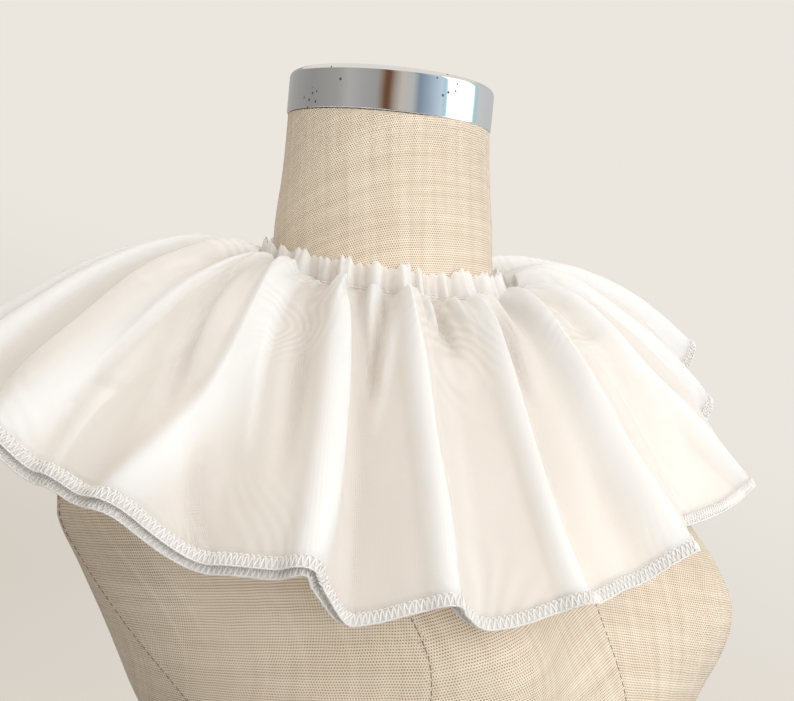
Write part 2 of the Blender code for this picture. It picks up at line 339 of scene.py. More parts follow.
def make_world():
    """Soft light from all round, brighter from above than from below."""
    world = bpy.data.worlds.new("daylight")
    world.use_nodes = True
    tree = world.node_tree
    place = node(tree, "ShaderNodeTexCoord")
    parts = node(tree, "ShaderNodeSeparateXYZ")
    tree.links.new(place.outputs["Generated"], parts.inputs[0])
    strength = map_range(tree, parts.outputs["Z"], -0.6, 0.7, DAYLIGHT_LOW, DAYLIGHT_HIGH, smooth=False)
    background = tree.nodes["Background"]
    background.inputs["Color"].default_value = (*DAYLIGHT, 1.0)
    tree.links.new(strength, background.inputs["Strength"])
    scene.world = world


make_world()
make_backdrop()
make_reflections()
area_light("window", WINDOW_PLACE, WINDOW_SIZE, WINDOW_POWER, WINDOW_COLOUR, WINDOW_AIM)
area_light("room", ROOM_PLACE, (ROOM_SIZE, ROOM_SIZE), ROOM_POWER, ROOM_COLOUR, ROOM_AIM)
area_light(
    "overhead", OVERHEAD_PLACE, (OVERHEAD_SIZE, OVERHEAD_SIZE), OVERHEAD_POWER,
    OVERHEAD_COLOUR, OVERHEAD_AIM,
)


# Dress form. A padded torso without limbs, covered in natural plain-woven linen that is cut in panels
# and sewn to its shape with dark thread. It is finished below the bust with a plain waist and hip.
MM = 0.001
RING_LEVEL = 500.0
SHARP_TURN = math.radians(50.0)
FORM_COLUMNS = ("level", "half_width", "front", "back")
FORM_SECTIONS = (
    (66, 51.2, -55.2, 47.2),
    (40, 52.8, -54.6, 50.4),
    (14, 55.4, -55.2, 54.8),
    (-12, 56.2, -55.4, 56.4),
    (-29, 57.0, -55.8, 58.2),
    (-34, 70.0, -57.5, 61.0),
    (-41, 91.0, -62.0, 66.0),
    (-50, 113.0, -67.0, 71.0),
    (-61, 134.0, -73.0, 76.0),
    (-73, 152.0, -80.0, 81.0),
    (-88, 167.0, -89.0, 86.0),
    (-103, 177.0, -98.0, 90.0),
    (-119, 178.0, -107.0, 93.0),
    (-141, 168.0, -119.0, 97.0),
    (-168, 156.0, -132.0, 98.0),
    (-195, 145.0, -143.0, 98.0),
    (-219, 134.0, -146.0, 96.0),
    (-255, 131.0, -138.0, 92.0),
    (-300, 125.0, -120.0, 87.0),
    (-345, 116.0, -104.0, 82.0),
    (-385, 112.0, -98.0, 81.0),
    (-428, 123.0, -103.0, 93.0),
    (-466, 140.0, -110.0, 107.0),
    (-500, 149.0, -113.0, 113.0),
)
BUST_SIDE = 85.0
BUST_LEVEL = -166.0
BUST_SPREAD_ACROSS = 44.0
BUST_SPREAD_ABOVE = 50.0
BUST_SPREAD_BELOW = 41.0
BUST_FULLNESS = 33.0
BUST_FADE = 14.0
CAP_TILT = 7.5
CAP_MIDDLE_Y = -4.0
CAP_BASE = 66.0
FORM_AROUND = 264
FORM_LEVEL_STEP = 4.0
SLOPE_LIMIT = 2.4

# The neck's weave runs level at the front and is pulled down towards the back from there. Lower down
# each panel's weave is turned by its own angle, in degrees.
NECK_LEAN = 2.6
NECK_LEAN_START = 0.75
NECK_LEAN_BLEND = 0.15
NECK_WEAVE_FROM = -60.0
NECK_WEAVE_BLEND = 40.0
PANEL_TOP = -30.0
FRONT_PANEL_LEAN = 13.0
SIDE_PANEL_LEAN = 3.0

# Seams of the linen by level: each row gives the angle round the section of one panel edge.
SEAM_COLUMNS = ("level", "princess", "side")
SEAM_ROWS = (
    (-60, 22, 104),
    (-100, 33, 103),
    (-140, 40, 98),
    (-166, 42, 92),
    (-192, 45, 84),
    (-219, 44, 84),
    (-255, 38, 88),
    (-385, 32, 90),
    (-500, 34, 90),
)


def lifted(points):
    """Points in millimetres about the neck ring, as metres in the frame."""
    moved = np.asarray(points, float).copy()
    moved[..., 2] += RING_LEVEL
    return moved * MM


def section_at(level):
    """The oval section at a level, eased between the tabled ones."""
    rows = np.array(FORM_SECTIONS, float)[::-1]
    levels = rows[:, FORM_COLUMNS.index("level")]
    slopes = np.gradient(rows[:, 1:], levels, axis=0)
    index = int(np.clip(np.searchsorted(levels, level) - 1, 0, len(levels) - 2))
    span = levels[index + 1] - levels[index]
    t = (level - levels[index]) / span
    start, end = rows[index, 1:], rows[index + 1, 1:]
    # The slope is held in where it would carry the curve past the next section.
    steep = (end - start) / span
    limit = SLOPE_LIMIT * steep
    low = np.where(np.abs(slopes[index]) > np.abs(limit), limit, slopes[index])
    high = np.where(np.abs(slopes[index + 1]) > np.abs(limit), limit, slopes[index + 1])
    return (
        (2 * t ** 3 - 3 * t ** 2 + 1) * start + (t ** 3 - 2 * t ** 2 + t) * span * low
        + (3 * t ** 2 - 2 * t ** 3) * end + (t ** 3 - t ** 2) * span * high
    )


def run_along(line):
    """The running length along a line of points, from 0 at its first one."""
    return np.concatenate([[0.0], np.cumsum(np.linalg.norm(np.diff(line, axis=0), axis=1))])


def outward_at(around):
    """Level unit vectors straight out from the neck at angles in radians."""
    return np.stack([np.sin(around), -np.cos(around), np.zeros_like(around)], axis=-1)


def step_between(value, start, end):
    """0 before the start, 1 past the end, eased between them."""
    share = np.clip((value - start) / (end - start), 0.0, 1.0)
    return share * share * (3.0 - 2.0 * share)


def form_point(level, around):
    """Points of the form's skin at a level and angles in radians, in millimetres."""
    half_width, front, back = section_at(level)
    x = half_width * np.sin(around)
    y = 0.5 * (front + back) - 0.5 * (back - front) * np.cos(around)
    across = (np.abs(x) - BUST_SIDE) / BUST_SPREAD_ACROSS
    up = (level - BUST_LEVEL) / (BUST_SPREAD_ABOVE if level > BUST_LEVEL else BUST_SPREAD_BELOW)
    push = BUST_FULLNESS * np.exp(-across * across - up * up)
    y = y - push * step_between(-y, -BUST_FADE, 2.0 * BUST_FADE)
    return np.stack([x, y, np.full_like(x, level)], axis=-1)


def tilted(points):
    """Points turned about the X axis so that the neck's cut top dips to the front."""
    turn = math.radians(CAP_TILT)
    y, z = points[..., 1] - CAP_MIDDLE_Y, points[..., 2] - CAP_BASE
    return np.stack([
        points[..., 0],
        CAP_MIDDLE_Y + y * math.cos(turn) - z * math.sin(turn),
        CAP_BASE + y * math.sin(turn) + z * math.cos(turn),
    ], axis=-1)


def seam_angle(which, level):
    """The angle of a seam at a level, in degrees, eased down its table."""
    rows = np.array(SEAM_ROWS, float)[::-1]
    return float(np.interp(level, rows[:, 0], rows[:, SEAM_COLUMNS.index(which)]))


def neck_lean(turn):
    """How far the neck's weave is pulled down from the front round to the back, in millimetres."""
    return NECK_LEAN * np.logaddexp(0.0, (abs(turn) - NECK_LEAN_START) / NECK_LEAN_BLEND)


def panel_lean(level, turn):
    """How far the weave is turned, in radians, in the panel at a level and an angle in degrees."""
    lean = 0.0
    if level <= PANEL_TOP:
        if abs(turn) < seam_angle("princess", level):
            lean = FRONT_PANEL_LEAN
        elif abs(turn) < seam_angle("side", level):
            lean = SIDE_PANEL_LEAN
    return math.radians(lean) * math.copysign(1.0, turn)


def make_form_mesh():
    """The padded form as one closed skin, with the weave's coordinates."""
    levels = np.append(np.arange(-RING_LEVEL, CAP_BASE - 2.0, FORM_LEVEL_STEP), CAP_BASE)
    turns = np.linspace(-math.pi, math.pi, FORM_AROUND, endpoint=False)
    rings = [form_point(level, turns) for level in levels]
    rings[-1] = tilted(rings[-1])
    count, rows = FORM_AROUND, len(rings)
    points = np.concatenate(rings + [
        [rings[0].mean(axis=0)], [rings[-1].mean(axis=0)],
    ])
    faces = ring_faces(rows, count)
    bottom, top = rows * count, rows * count + 1
    last = (rows - 1) * count
    for index in range(count):
        after = (index + 1) % count
        faces.append((bottom, after, index))
        faces.append((top, last + index, last + after))
    made = link_mesh("linen_form", lifted(points), faces)
    # The weave's own coordinates, in metres: round the form and up it, turned a little in each panel.
    weave = made.data.uv_layers.new(name="weave")
    lengths = []
    for ring in rings:
        steps = np.linalg.norm(np.roll(ring, -1, axis=0) - ring, axis=1)
        lengths.append(np.concatenate([[0.0], np.cumsum(steps)]))
    rise = np.concatenate([[0.0], np.cumsum(np.hypot(
        np.diff(levels),
        np.diff([np.abs(ring[:, 0]).max() for ring in rings]) * 0.5,
    ))])
    for polygon in made.data.polygons:
        corners = list(polygon.loop_indices)
        if polygon.index >= (rows - 1) * count:
            for corner in corners:
                spot = made.data.vertices[made.data.loops[corner].vertex_index].co
                weave.data[corner].uv = (spot.x, spot.y)
            continue
        row, index = divmod(polygon.index, count)
        lean = panel_lean(levels[row], math.degrees(turns[index] + math.pi / count))
        for corner, (up, onward) in zip(corners, ((0, 0), (0, 1), (1, 1), (1, 0))):
            u = lengths[row + up][index + onward] - 0.5 * lengths[row + up][-1]
            near_neck = np.clip((levels[row + up] - NECK_WEAVE_FROM) / NECK_WEAVE_BLEND, 0.0, 1.0)
            turn = turns[index] + 2.0 * math.pi * onward / count
            v = rise[row + up] + near_neck * neck_lean(turn)
            weave.data[corner].uv = (
                MM * (u * math.cos(lean) - v * math.sin(lean)),
                MM * (u * math.sin(lean) + v * math.cos(lean)),
            )
    made.data.shade_smooth()
    made.data.set_sharp_from_angle(angle=SHARP_TURN)
    return made


LINEN_PALE = (0.82, 0.722, 0.59)
LINEN_DEEP = (0.675, 0.547, 0.405)
LINEN_GAP = (0.20, 0.14, 0.085)
LINEN_PITCH = 0.00108
LINEN_SLUB = 0.35
LINEN_DEPTH = 0.00035
LINEN_WANDER = (0.00075, 0.00075, 0.0)
SLUB_SCALE = 260.0
SLUB_STRETCH = 0.045


def thread_wave(tree, along, pitch):
    """A 0 to 1 wave along a coordinate, with one peak for each pitch."""
    turned = math_node(tree, "MULTIPLY", along, 2.0 * math.pi / pitch)
    return math_node(tree, "MULTIPLY_ADD", math_node(tree, "SINE", turned), 0.5, 0.5)


def noise(tree, vector, scale, detail=3.0, roughness=0.5, stretch=None):
    """A noise value from -1 to 1 at a scale, stretched by a three-number tuple if one is given."""
    if stretch:
        mapped = node(tree, "ShaderNodeMapping")
        mapped.inputs["Scale"].default_value = stretch
        tree.links.new(vector, mapped.inputs["Vector"])
        vector = mapped.outputs[0]
    made = node(tree, "ShaderNodeTexNoise")
    made.inputs["Scale"].default_value = scale
    made.inputs["Detail"].default_value = detail
    made.inputs["Roughness"].default_value = roughness
    tree.links.new(vector, made.inputs["Vector"])
    return math_node(tree, "MULTIPLY_ADD", made.outputs["Fac"], 2.0, -1.0)


def linen_material():
    """Plain-woven linen: slubbed threads with small dark gaps between them."""
    made = new_material("natural_linen")
    tree = made.node_tree
    weave = node(tree, "ShaderNodeUVMap", uv_map="weave")
    place = node(tree, "ShaderNodeTexCoord")
    # Threads wander a little, so the crossings never line up exactly.
    wander = node(tree, "ShaderNodeTexNoise")
    wander.inputs["Scale"].default_value = 130.0
    wander.inputs["Detail"].default_value = 1.0
    tree.links.new(weave.outputs[0], wander.inputs["Vector"])
    shift = node(tree, "ShaderNodeVectorMath", operation="MULTIPLY_ADD")
    tree.links.new(wander.outputs["Color"], shift.inputs[0])
    shift.inputs[1].default_value = LINEN_WANDER
    tree.links.new(weave.outputs[0], shift.inputs[2])
    parts = node(tree, "ShaderNodeSeparateXYZ")
    tree.links.new(shift.outputs[0], parts.inputs[0])
    # Every other row of gaps lies half a thread along, as in a plain weave pulled tight.
    row = math_node(tree, "FLOOR", math_node(tree, "DIVIDE", parts.outputs["Y"], LINEN_PITCH))
    staggered = math_node(tree, "MULTIPLY_ADD", row, 0.5 * LINEN_PITCH, parts.outputs["X"])
    warp = thread_wave(tree, staggered, LINEN_PITCH)
    weft = thread_wave(tree, parts.outputs["Y"], LINEN_PITCH)
    hollow = math_node(
        tree, "MULTIPLY",
        math_node(tree, "SUBTRACT", 1.0, warp), math_node(tree, "SUBTRACT", 1.0, weft),
    )
    slub_up = noise(tree, weave.outputs[0], SLUB_SCALE, 1.0, 0.6, (1.0, SLUB_STRETCH, 1.0))
    slub_across = noise(tree, weave.outputs[0], SLUB_SCALE, 1.0, 0.6, (SLUB_STRETCH, 1.0, 1.0))
    slubs = math_node(tree, "ADD", slub_up, slub_across)
    patches = noise(tree, place.outputs["Object"], 14.0, 1.0)
    tone = math_node(
        tree, "MULTIPLY_ADD", slubs, LINEN_SLUB,
        math_node(tree, "MULTIPLY_ADD", patches, 0.25, 0.62), clamp=True,
    )
    gap_size = math_node(tree, "MULTIPLY_ADD", slubs, 0.14, 0.30)
    gap = math_node(tree, "DIVIDE", math_node(tree, "SUBTRACT", hollow, gap_size), 0.5, clamp=True)
    cloth = mix_colours(tree, tone, LINEN_DEEP, LINEN_PALE)
    colour = mix_colours(tree, gap, cloth, LINEN_GAP)
    height = math_node(tree, "MAXIMUM", warp, weft)
    bump = bumped(tree, height, 0.55, LINEN_DEPTH)
    shader = node(tree, "ShaderNodeBsdfPrincipled")
    shader.inputs["Roughness"].default_value = 0.88
    shader.inputs["Sheen Weight"].default_value = 0.12
    shader.inputs["Sheen Roughness"].default_value = 0.6
    shader.inputs["Specular IOR Level"].default_value = 0.25
    tree.links.new(colour, shader.inputs["Base Color"])
    tree.links.new(bump, shader.inputs["Normal"])
    set_surface(tree, shader)
    return made


linen_form = make_form_mesh()
linen_form.data.materials.append(linen_material())
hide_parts("form_body")
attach(linen_form, "root")


# Form seams. Dark linen thread sews the cover's panels together in short stitches that sink into the
# cloth: down the middle front and back, over each bust, down each back panel and under each arm.
SEAM_STITCH = 3.1
SEAM_THREAD = 0.45
SEAM_TOP = -70.0
SEAM_BOTTOM = -498.0
SEAM_RAISED = 0.1
BACK_SEAM_SHARE = 0.85
# Each stitch's run of thread has a start, a bend and an end, as shares of its length, width and height.
SEAM_RUNS = (((-0.36, 0.0, -0.6), (0.0, 0.0, 0.6), (0.36, 0.0, -0.6)),)


def seam_path(which, side, level):
    """Where a seam runs at a level, in degrees round the section."""
    if which == "centre_front":
        return 0.0
    if which == "centre_back":
        return 180.0
    if which == "back_princess":
        return side * (180.0 - BACK_SEAM_SHARE * seam_angle("princess", level))
    return side * seam_angle(which, level)


def seam_points():
    """Stitch middles with their direction and the skin's outward normal."""
    places, ways, outs = [], [], []
    seams = [("centre_front", 1), ("centre_back", 1)]
    seams += [(kind, side) for kind in ("princess", "back_princess", "side") for side in (-1, 1)]
    for which, side in seams:
        levels = np.arange(SEAM_TOP, SEAM_BOTTOM, -0.5)
        turns = np.radians([seam_path(which, side, level) for level in levels])
        line = np.array([form_point(level, np.array([turn]))[0] for level, turn in zip(levels, turns)])
        run = run_along(line)
        for at in np.arange(0.5 * SEAM_STITCH, run[-1] - SEAM_STITCH, SEAM_STITCH):
            index = int(np.searchsorted(run, at))
            way = line[min(index + 3, len(line) - 1)] - line[max(index - 3, 0)]
            near = form_point(levels[index], np.array([turns[index] + 0.01]))[0]
            out = np.cross(near - line[index], -way)
            out /= np.linalg.norm(out)
            if np.dot(out[:2], line[index][:2]) < 0.0:
                out = -out
            places.append(line[index] + out * SEAM_RAISED)
            ways.append(way / np.linalg.norm(way))
            outs.append(out)
    return np.array(places), np.array(ways), np.array(outs)


def point_object(name, places, ways, outs):
    """Loose vertices that carry the direction and the outward normal of one stitch each."""
    made = link_mesh(name, lifted(places), [])
    for key, values in (("way", ways), ("out", outs)):
        stored = made.data.attributes.new(key, "FLOAT_VECTOR", "POINT")
        stored.data.foreach_set("vector", np.asarray(values, np.float32).ravel())
    return made


def new_tree(name, sizes):
    """A Geometry Nodes tree with a geometry input and one float input for each named size."""
    tree = bpy.data.node_groups.new(name, "GeometryNodeTree")
    tree.interface.new_socket("Geometry", in_out="INPUT", socket_type="NodeSocketGeometry")
    for key, value in sizes.items():
        socket = tree.interface.new_socket(key, in_out="INPUT", socket_type="NodeSocketFloat")
        socket.default_value = value
    tree.interface.new_socket("Geometry", in_out="OUTPUT", socket_type="NodeSocketGeometry")
    return tree, node(tree, "NodeGroupInput"), node(tree, "NodeGroupOutput")


def thread_run(tree, group_in, extent, start, middle, end, steps, sides):
    """One run of thread: a tube along a bent line, its places given as shares of the stitch's extent."""
    line = node(tree, "GeometryNodeCurveQuadraticBezier")
    line.inputs["Resolution"].default_value = steps
    for key, share in (("Start", start), ("Middle", middle), ("End", end)):
        place = node(tree, "ShaderNodeVectorMath", operation="MULTIPLY")
        place.inputs[0].default_value = share
        tree.links.new(extent, place.inputs[1])
        tree.links.new(place.outputs[0], line.inputs[key])
    ring = node(tree, "GeometryNodeCurvePrimitiveCircle")
    ring.inputs["Resolution"].default_value = sides
    tree.links.new(
        math_node(tree, "MULTIPLY", group_in.outputs["Thread Width"], 0.5), ring.inputs["Radius"],
    )
    tube = node(tree, "GeometryNodeCurveToMesh")
    tube.inputs["Fill Caps"].default_value = True
    tree.links.new(line.outputs[0], tube.inputs["Curve"])
    tree.links.new(ring.outputs[0], tube.inputs["Profile Curve"])
    return tube.outputs[0]


def stitch_tree(name, sizes, runs, material, seed, steps=4, sides=5):
    """A tree that sets one stitch, made of several runs of thread, on each point it is given."""
    tree, group_in, group_out = new_tree(name, sizes)
    extent = node(tree, "ShaderNodeCombineXYZ")
    for axis, key in zip("XYZ", ("Stitch Length", "Stitch Width", "Stitch Height")):
        tree.links.new(group_in.outputs[key], extent.inputs[axis])
    joined = node(tree, "GeometryNodeJoinGeometry")
    for start, middle, end in runs:
        run = thread_run(tree, group_in, extent.outputs[0], start, middle, end, steps, sides)
        tree.links.new(run, joined.inputs[0])
    way = node(tree, "GeometryNodeInputNamedAttribute", data_type="FLOAT_VECTOR")
    way.inputs["Name"].default_value = "way"
    out = node(tree, "GeometryNodeInputNamedAttribute", data_type="FLOAT_VECTOR")
    out.inputs["Name"].default_value = "out"
    turn = node(tree, "FunctionNodeAxesToRotation", primary_axis="Z", secondary_axis="X")
    tree.links.new(out.outputs[0], turn.inputs[0])
    tree.links.new(way.outputs[0], turn.inputs[1])
    lean = node(tree, "FunctionNodeRandomValue", data_type="FLOAT")
    lean.inputs["Seed"].default_value = seed
    lowest = math_node(tree, "MULTIPLY", group_in.outputs["Unevenness"], -1.0)
    tree.links.new(lowest, lean.inputs[2])
    tree.links.new(group_in.outputs["Unevenness"], lean.inputs[3])
    about = node(tree, "FunctionNodeAxisAngleToRotation")
    about.inputs["Axis"].default_value = (0.0, 0.0, 1.0)
    tree.links.new(lean.outputs[1], about.inputs["Angle"])
    leaned = node(tree, "FunctionNodeRotateRotation", rotation_space="LOCAL")
    tree.links.new(turn.outputs[0], leaned.inputs[0])
    tree.links.new(about.outputs[0], leaned.inputs[1])
    placed = node(tree, "GeometryNodeInstanceOnPoints")
    tree.links.new(group_in.outputs["Geometry"], placed.inputs["Points"])
    tree.links.new(joined.outputs[0], placed.inputs["Instance"])
    tree.links.new(leaned.outputs[0], placed.inputs["Rotation"])
    real = node(tree, "GeometryNodeRealizeInstances")
    tree.links.new(placed.outputs[0], real.inputs[0])
    painted = node(tree, "GeometryNodeSetMaterial")
    painted.inputs["Material"].default_value = material
    tree.links.new(real.outputs[0], painted.inputs[0])
    tree.links.new(painted.outputs[0], group_out.inputs[0])
    return tree


def grown(carrier, tree, name, sizes):
    """The plain mesh that a tree makes on a carrier object, which is then removed."""
    grower = carrier.modifiers.new("grower", "NODES")
    grower.node_group = tree
    for item in tree.interface.items_tree:
        if item.item_type == "SOCKET" and item.in_out == "INPUT" and item.name in sizes:
            grower[item.identifier] = sizes[item.name]
    bpy.context.view_layer.update()
    graph = bpy.context.evaluated_depsgraph_get()
    mesh = bpy.data.meshes.new_from_object(carrier.evaluated_get(graph))
    mesh.name = name
    for stored in ("way", "out"):
        if stored in mesh.attributes:
            mesh.attributes.remove(mesh.attributes[stored])
    made = bpy.data.objects.new(name, mesh)
    scene.collection.objects.link(made)
    bpy.data.objects.remove(carrier, do_unlink=True)
    made.data.shade_smooth()
    return made


FIBRE_DEPTH = 0.0001


def thread_material(name, pale, deep, roughness, twist_scale, let_through=0.0):
    """Spun thread: a paler and a deeper tone along its twisted fibres."""
    made = new_material(name)
    tree = made.node_tree
    place = node(tree, "ShaderNodeTexCoord")
    fibres = noise(tree, place.outputs["Object"], twist_scale, 1.0, 0.6)
    colour = mix_colours(tree, math_node(tree, "MULTIPLY_ADD", fibres, 0.5, 0.5), deep, pale)
    bump = bumped(tree, fibres, 0.5, FIBRE_DEPTH)
    shader = node(tree, "ShaderNodeBsdfPrincipled")
    shader.inputs["Roughness"].default_value = roughness
    shader.inputs["Specular IOR Level"].default_value = 0.3
    tree.links.new(colour, shader.inputs["Base Color"])
    tree.links.new(bump, shader.inputs["Normal"])
    through = node(tree, "ShaderNodeBsdfTranslucent")
    tree.links.new(colour, through.inputs["Color"])
    set_surface(tree, mix_shaders(tree, let_through, shader, through))
    return made


def make_form_seams():
    """The dark stitches of every seam, as one piece."""
    sizes = {
        "Thread Width": SEAM_THREAD * MM, "Stitch Length": SEAM_STITCH * MM,
        "Stitch Width": 1.0 * MM, "Stitch Height": 0.5 * MM, "Unevenness": 0.07,
    }
    colour = thread_material("seam_thread", (0.30, 0.225, 0.15), (0.15, 0.105, 0.065), 0.8, 1800.0)
    tree = stitch_tree("form_seam_stitches", sizes, SEAM_RUNS, colour, seed=3, steps=5)
    made = grown(point_object("seam_places", *seam_points()), tree, "form_seam_stitches", sizes)
    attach(made, "root")


make_form_seams()


# Neck cap. A turned steel disc with a chrome plate closes the neck, its top edge rounded over and a
# small lip rolled under. It is pressed on, and wears a little in fine pits and rubbed streaks.
CAP_RADIUS = 51.9
CAP_HEIGHT = 21.0
CAP_GAP = 0.3
CAP_AROUND = 192
CAP_LIP_ROUND = 0.8
CAP_TOP_ROUND = 3.2
CAP_RIPPLE_DEPTH = 0.0012
CAP_COLOUR = (0.78, 0.79, 0.80)
CAP_PIT_COLOUR = (0.20, 0.17, 0.15)


def cap_profile():
    """From the underside's middle out and up to the top's middle, as (radius, height)."""
    profile = [(0.5, 0.0), (30.0, 0.0), (46.0, 0.0)]
    for step in range(7):
        turn = 0.5 * math.pi * step / 6
        profile.append((
            CAP_RADIUS - CAP_LIP_ROUND + CAP_LIP_ROUND * math.sin(turn),
            CAP_LIP_ROUND - CAP_LIP_ROUND * math.cos(turn),
        ))
    profile.append((CAP_RADIUS, 0.5 * CAP_HEIGHT))
    for step in range(9):
        turn = 0.5 * math.pi * step / 8
        profile.append((
            CAP_RADIUS - CAP_TOP_ROUND + CAP_TOP_ROUND * math.cos(turn),
            CAP_HEIGHT - CAP_TOP_ROUND + CAP_TOP_ROUND * math.sin(turn),
        ))
    profile += [(44.0, CAP_HEIGHT + 0.02), (30.0, CAP_HEIGHT + 0.04), (0.5, CAP_HEIGHT + 0.05)]
    return profile


def chrome_material():
    """Chrome with a little haze, a few pits and a faint ripple."""
    made = new_material("worn_chrome")
    tree = made.node_tree
    place = node(tree, "ShaderNodeTexCoord")
    haze = noise(tree, place.outputs["Object"], 26.0, 4.0, 0.6, (1.0, 1.0, 0.35))
    pits = node(tree, "ShaderNodeTexVoronoi", feature="F1")
    pits.inputs["Scale"].default_value = 300.0
    tree.links.new(place.outputs["Object"], pits.inputs["Vector"])
    gather = noise(tree, place.outputs["Object"], 40.0, 2.0, 0.5)
    near = math_node(tree, "LESS_THAN", pits.outputs["Distance"], 0.20)
    here = math_node(tree, "GREATER_THAN", gather, 0.06)
    spots = math_node(tree, "MULTIPLY", near, here)
    colour = mix_colours(tree, spots, CAP_COLOUR, CAP_PIT_COLOUR)
    rough = math_node(tree, "MULTIPLY_ADD", haze, 0.05, 0.09)
    rough = math_node(tree, "MULTIPLY_ADD", spots, 0.35, rough)
    ripple = noise(tree, place.outputs["Object"], 17.0, 1.0, 0.4, (1.0, 1.0, 2.2))
    bump = bumped(tree, ripple, 0.35, CAP_RIPPLE_DEPTH)
    shader = node(tree, "ShaderNodeBsdfPrincipled")
    shader.inputs["Metallic"].default_value = 1.0
    tree.links.new(colour, shader.inputs["Base Color"])
    tree.links.new(rough, shader.inputs["Roughness"])
    tree.links.new(bump, shader.inputs["Normal"])
    set_surface(tree, shader)
    return made


def make_neck_cap():
    """The tilted cap as one closed turned solid."""
    profile = cap_profile()
    points = turned_points(profile, CAP_AROUND) + (0.0, CAP_MIDDLE_Y, CAP_BASE + CAP_GAP)
    faces = ring_faces(len(profile), CAP_AROUND)
    last = (len(profile) - 1) * CAP_AROUND
    faces.append(tuple(reversed(range(CAP_AROUND))))
    faces.append(tuple(last + index for index in range(CAP_AROUND)))
    made = link_mesh("chrome_neck_cap", lifted(tilted(points)), faces)
    made.data.shade_smooth()
    made.data.set_sharp_from_angle(angle=SHARP_TURN)
    made.data.materials.append(chrome_material())
    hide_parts("neck_cap")
    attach(made, "root")


make_neck_cap()


# Ruff, upper layer. One flounce of sheer white organza, cut on a curve so that its hem is longer than
# its neck edge, joined into a ring and gathered at the neck. It falls in deep uneven folds over the
# shoulders: each fold stands up as a soft crest that drops steeply into the trough beside it.
RING_LIFT = -1.5
RING_FRONT_DIP = 13.0
RING_SIDE_RISE = 1.5
HEADING_HEIGHT = 12.0
CLOTH_START_RADIUS = 60.2
CLOTH_START_DROP = 0.9
CLOTH_END_RADIUS = 195.0
CRIMPS = 96.0
GATHER_FADE = 0.42
GATHER_TURN = 0.12
# From the stitches to the hem the cloth follows one curve; these are its two handles.
START_HANDLE = 46.0
HEM_HANDLE = 60.0
HEM_SPEED = 3.0 * HEM_HANDLE
CREST_SOFTNESS = 0.75
NEAR_NECK_RELIEF = 3.2
FOLD_COLUMNS = (
    "neck_angle", "hem_angle", "crest_radius", "crest_level",
    "trough_share", "trough_radius", "trough_level", "rise", "fall",
)
FOLDS = (
    (-175, -166, 210, -62, 0.40, 199, -72, 26, -48),
    (-164, -150, 215, -62, 0.46, 203, -73, 28, -48),
    (-153, -133, 221, -66, 0.40, 208, -79, 32, -50),
    (-141, -117, 226, -70, 0.42, 213, -84, 37, -51),
    (-128, -101, 225, -75, 0.46, 214, -90, 39, -52),
    (-112, -88, 221, -82, 0.50, 211, -98, 37, -53),
    (-95, -74, 208, -107, 0.52, 194, -129, 22, -58),
    (-58, -53, 195, -130, 0.30, 183, -151, -4, -62),
    (-36, -38, 188, -144, 0.32, 180, -154, -8, -64),
    (-1, -21, 184, -147, 0.42, 179, -143, -8, -64),
    (12, -4, 184, -132, 0.20, 162, -126, 2, -66),
    (40, 43, 180, -117, 0.46, 167, -100, 20, -68),
    (58, 62, 186, -77, 0.42, 181, -69, 30, -62),
    (72, 71, 199, -44, 0.50, 196, -38, 30, -42),
    (88, 87, 219, -26, 0.42, 207, -35, 32, -34),
    (104, 104, 222, -35, 0.40, 210, -46, 31, -38),
    (121, 122, 219, -43, 0.45, 206, -55, 28, -42),
    (139, 139, 214, -50, 0.40, 201, -62, 27, -45),
    (158, 157, 210, -56, 0.46, 198, -68, 26, -48),
    (177, 176, 208, -60, 0.40, 196, -71, 26, -48),
)

# Crest curls, one row for each fold above. The first three columns are the middle angle of the curl's
# edge near the neck, halfway and at the hem. Then how high its lip stands, how far it reaches to the
# left and to the right before it lies flat again, in millimetres.
CURL_COLUMNS = ("near_neck", "halfway", "at_hem", "height", "left_reach", "right_reach")
CURL_SHARES = (0.10, 0.55, 1.00)
HEM_ROUNDING = 2.6
CURL_NECK_REACH = 0.45
HOLLOW_AWAY = 10.0
HOLLOW_WIDTH = 8.0
CURLS = (
    (-172, -169, -170, 3.4, 15, 4.0),
    (-159, -156, -157, 3.0, 14, 4.0),
    (-146, -141, -143, 3.6, 16, 4.0),
    (-131, -128, -129, 3.2, 15, 4.0),
    (-115, -113, -114, 3.0, 14, 4.5),
    (-88, -91, -98, 3.0, 16, 6.0),
    (-79, -75, -84, 3.6, 4.5, 20),
    (-57, -53, -55.5, 4.2, 13, 3.0),
    (-38, -37, -36.5, 3.8, 13, 3.0),
    (-17, -15.3, -11.5, 4.2, 16, 3.0),
    (3.5, 0.6, 3.0, 4.4, 18, 3.0),
    (38, 24.5, 38, 4.0, 20, 3.4),
    (60, 55, 60, 3.8, 17, 4.0),
    (72, 70, 71, 3.4, 15, 4.0),
    (88, 85, 87, 3.4, 15, 4.0),
    (105, 102, 104, 3.2, 14, 4.0),
    (121, 119, 121, 3.6, 16, 4.0),
    (139, 136, 139, 3.2, 14, 4.0),
    (157, 154, 157, 3.4, 15, 4.0),
    (177, 175, 176, 3.0, 14, 4.0),
)


def blend(low, high, share):
    """From low at share 0 to high at share 1."""
    return low + (high - low) * share


def ease(share):
    """Mostly a cosine step, with a little straight run so that crests stay crisp."""
    return blend(share, 0.5 - 0.5 * np.cos(np.pi * share), CREST_SOFTNESS)


KNOT_KEYS = ("angle", "twist", "radius", "level", "rise", "fall", "wave")


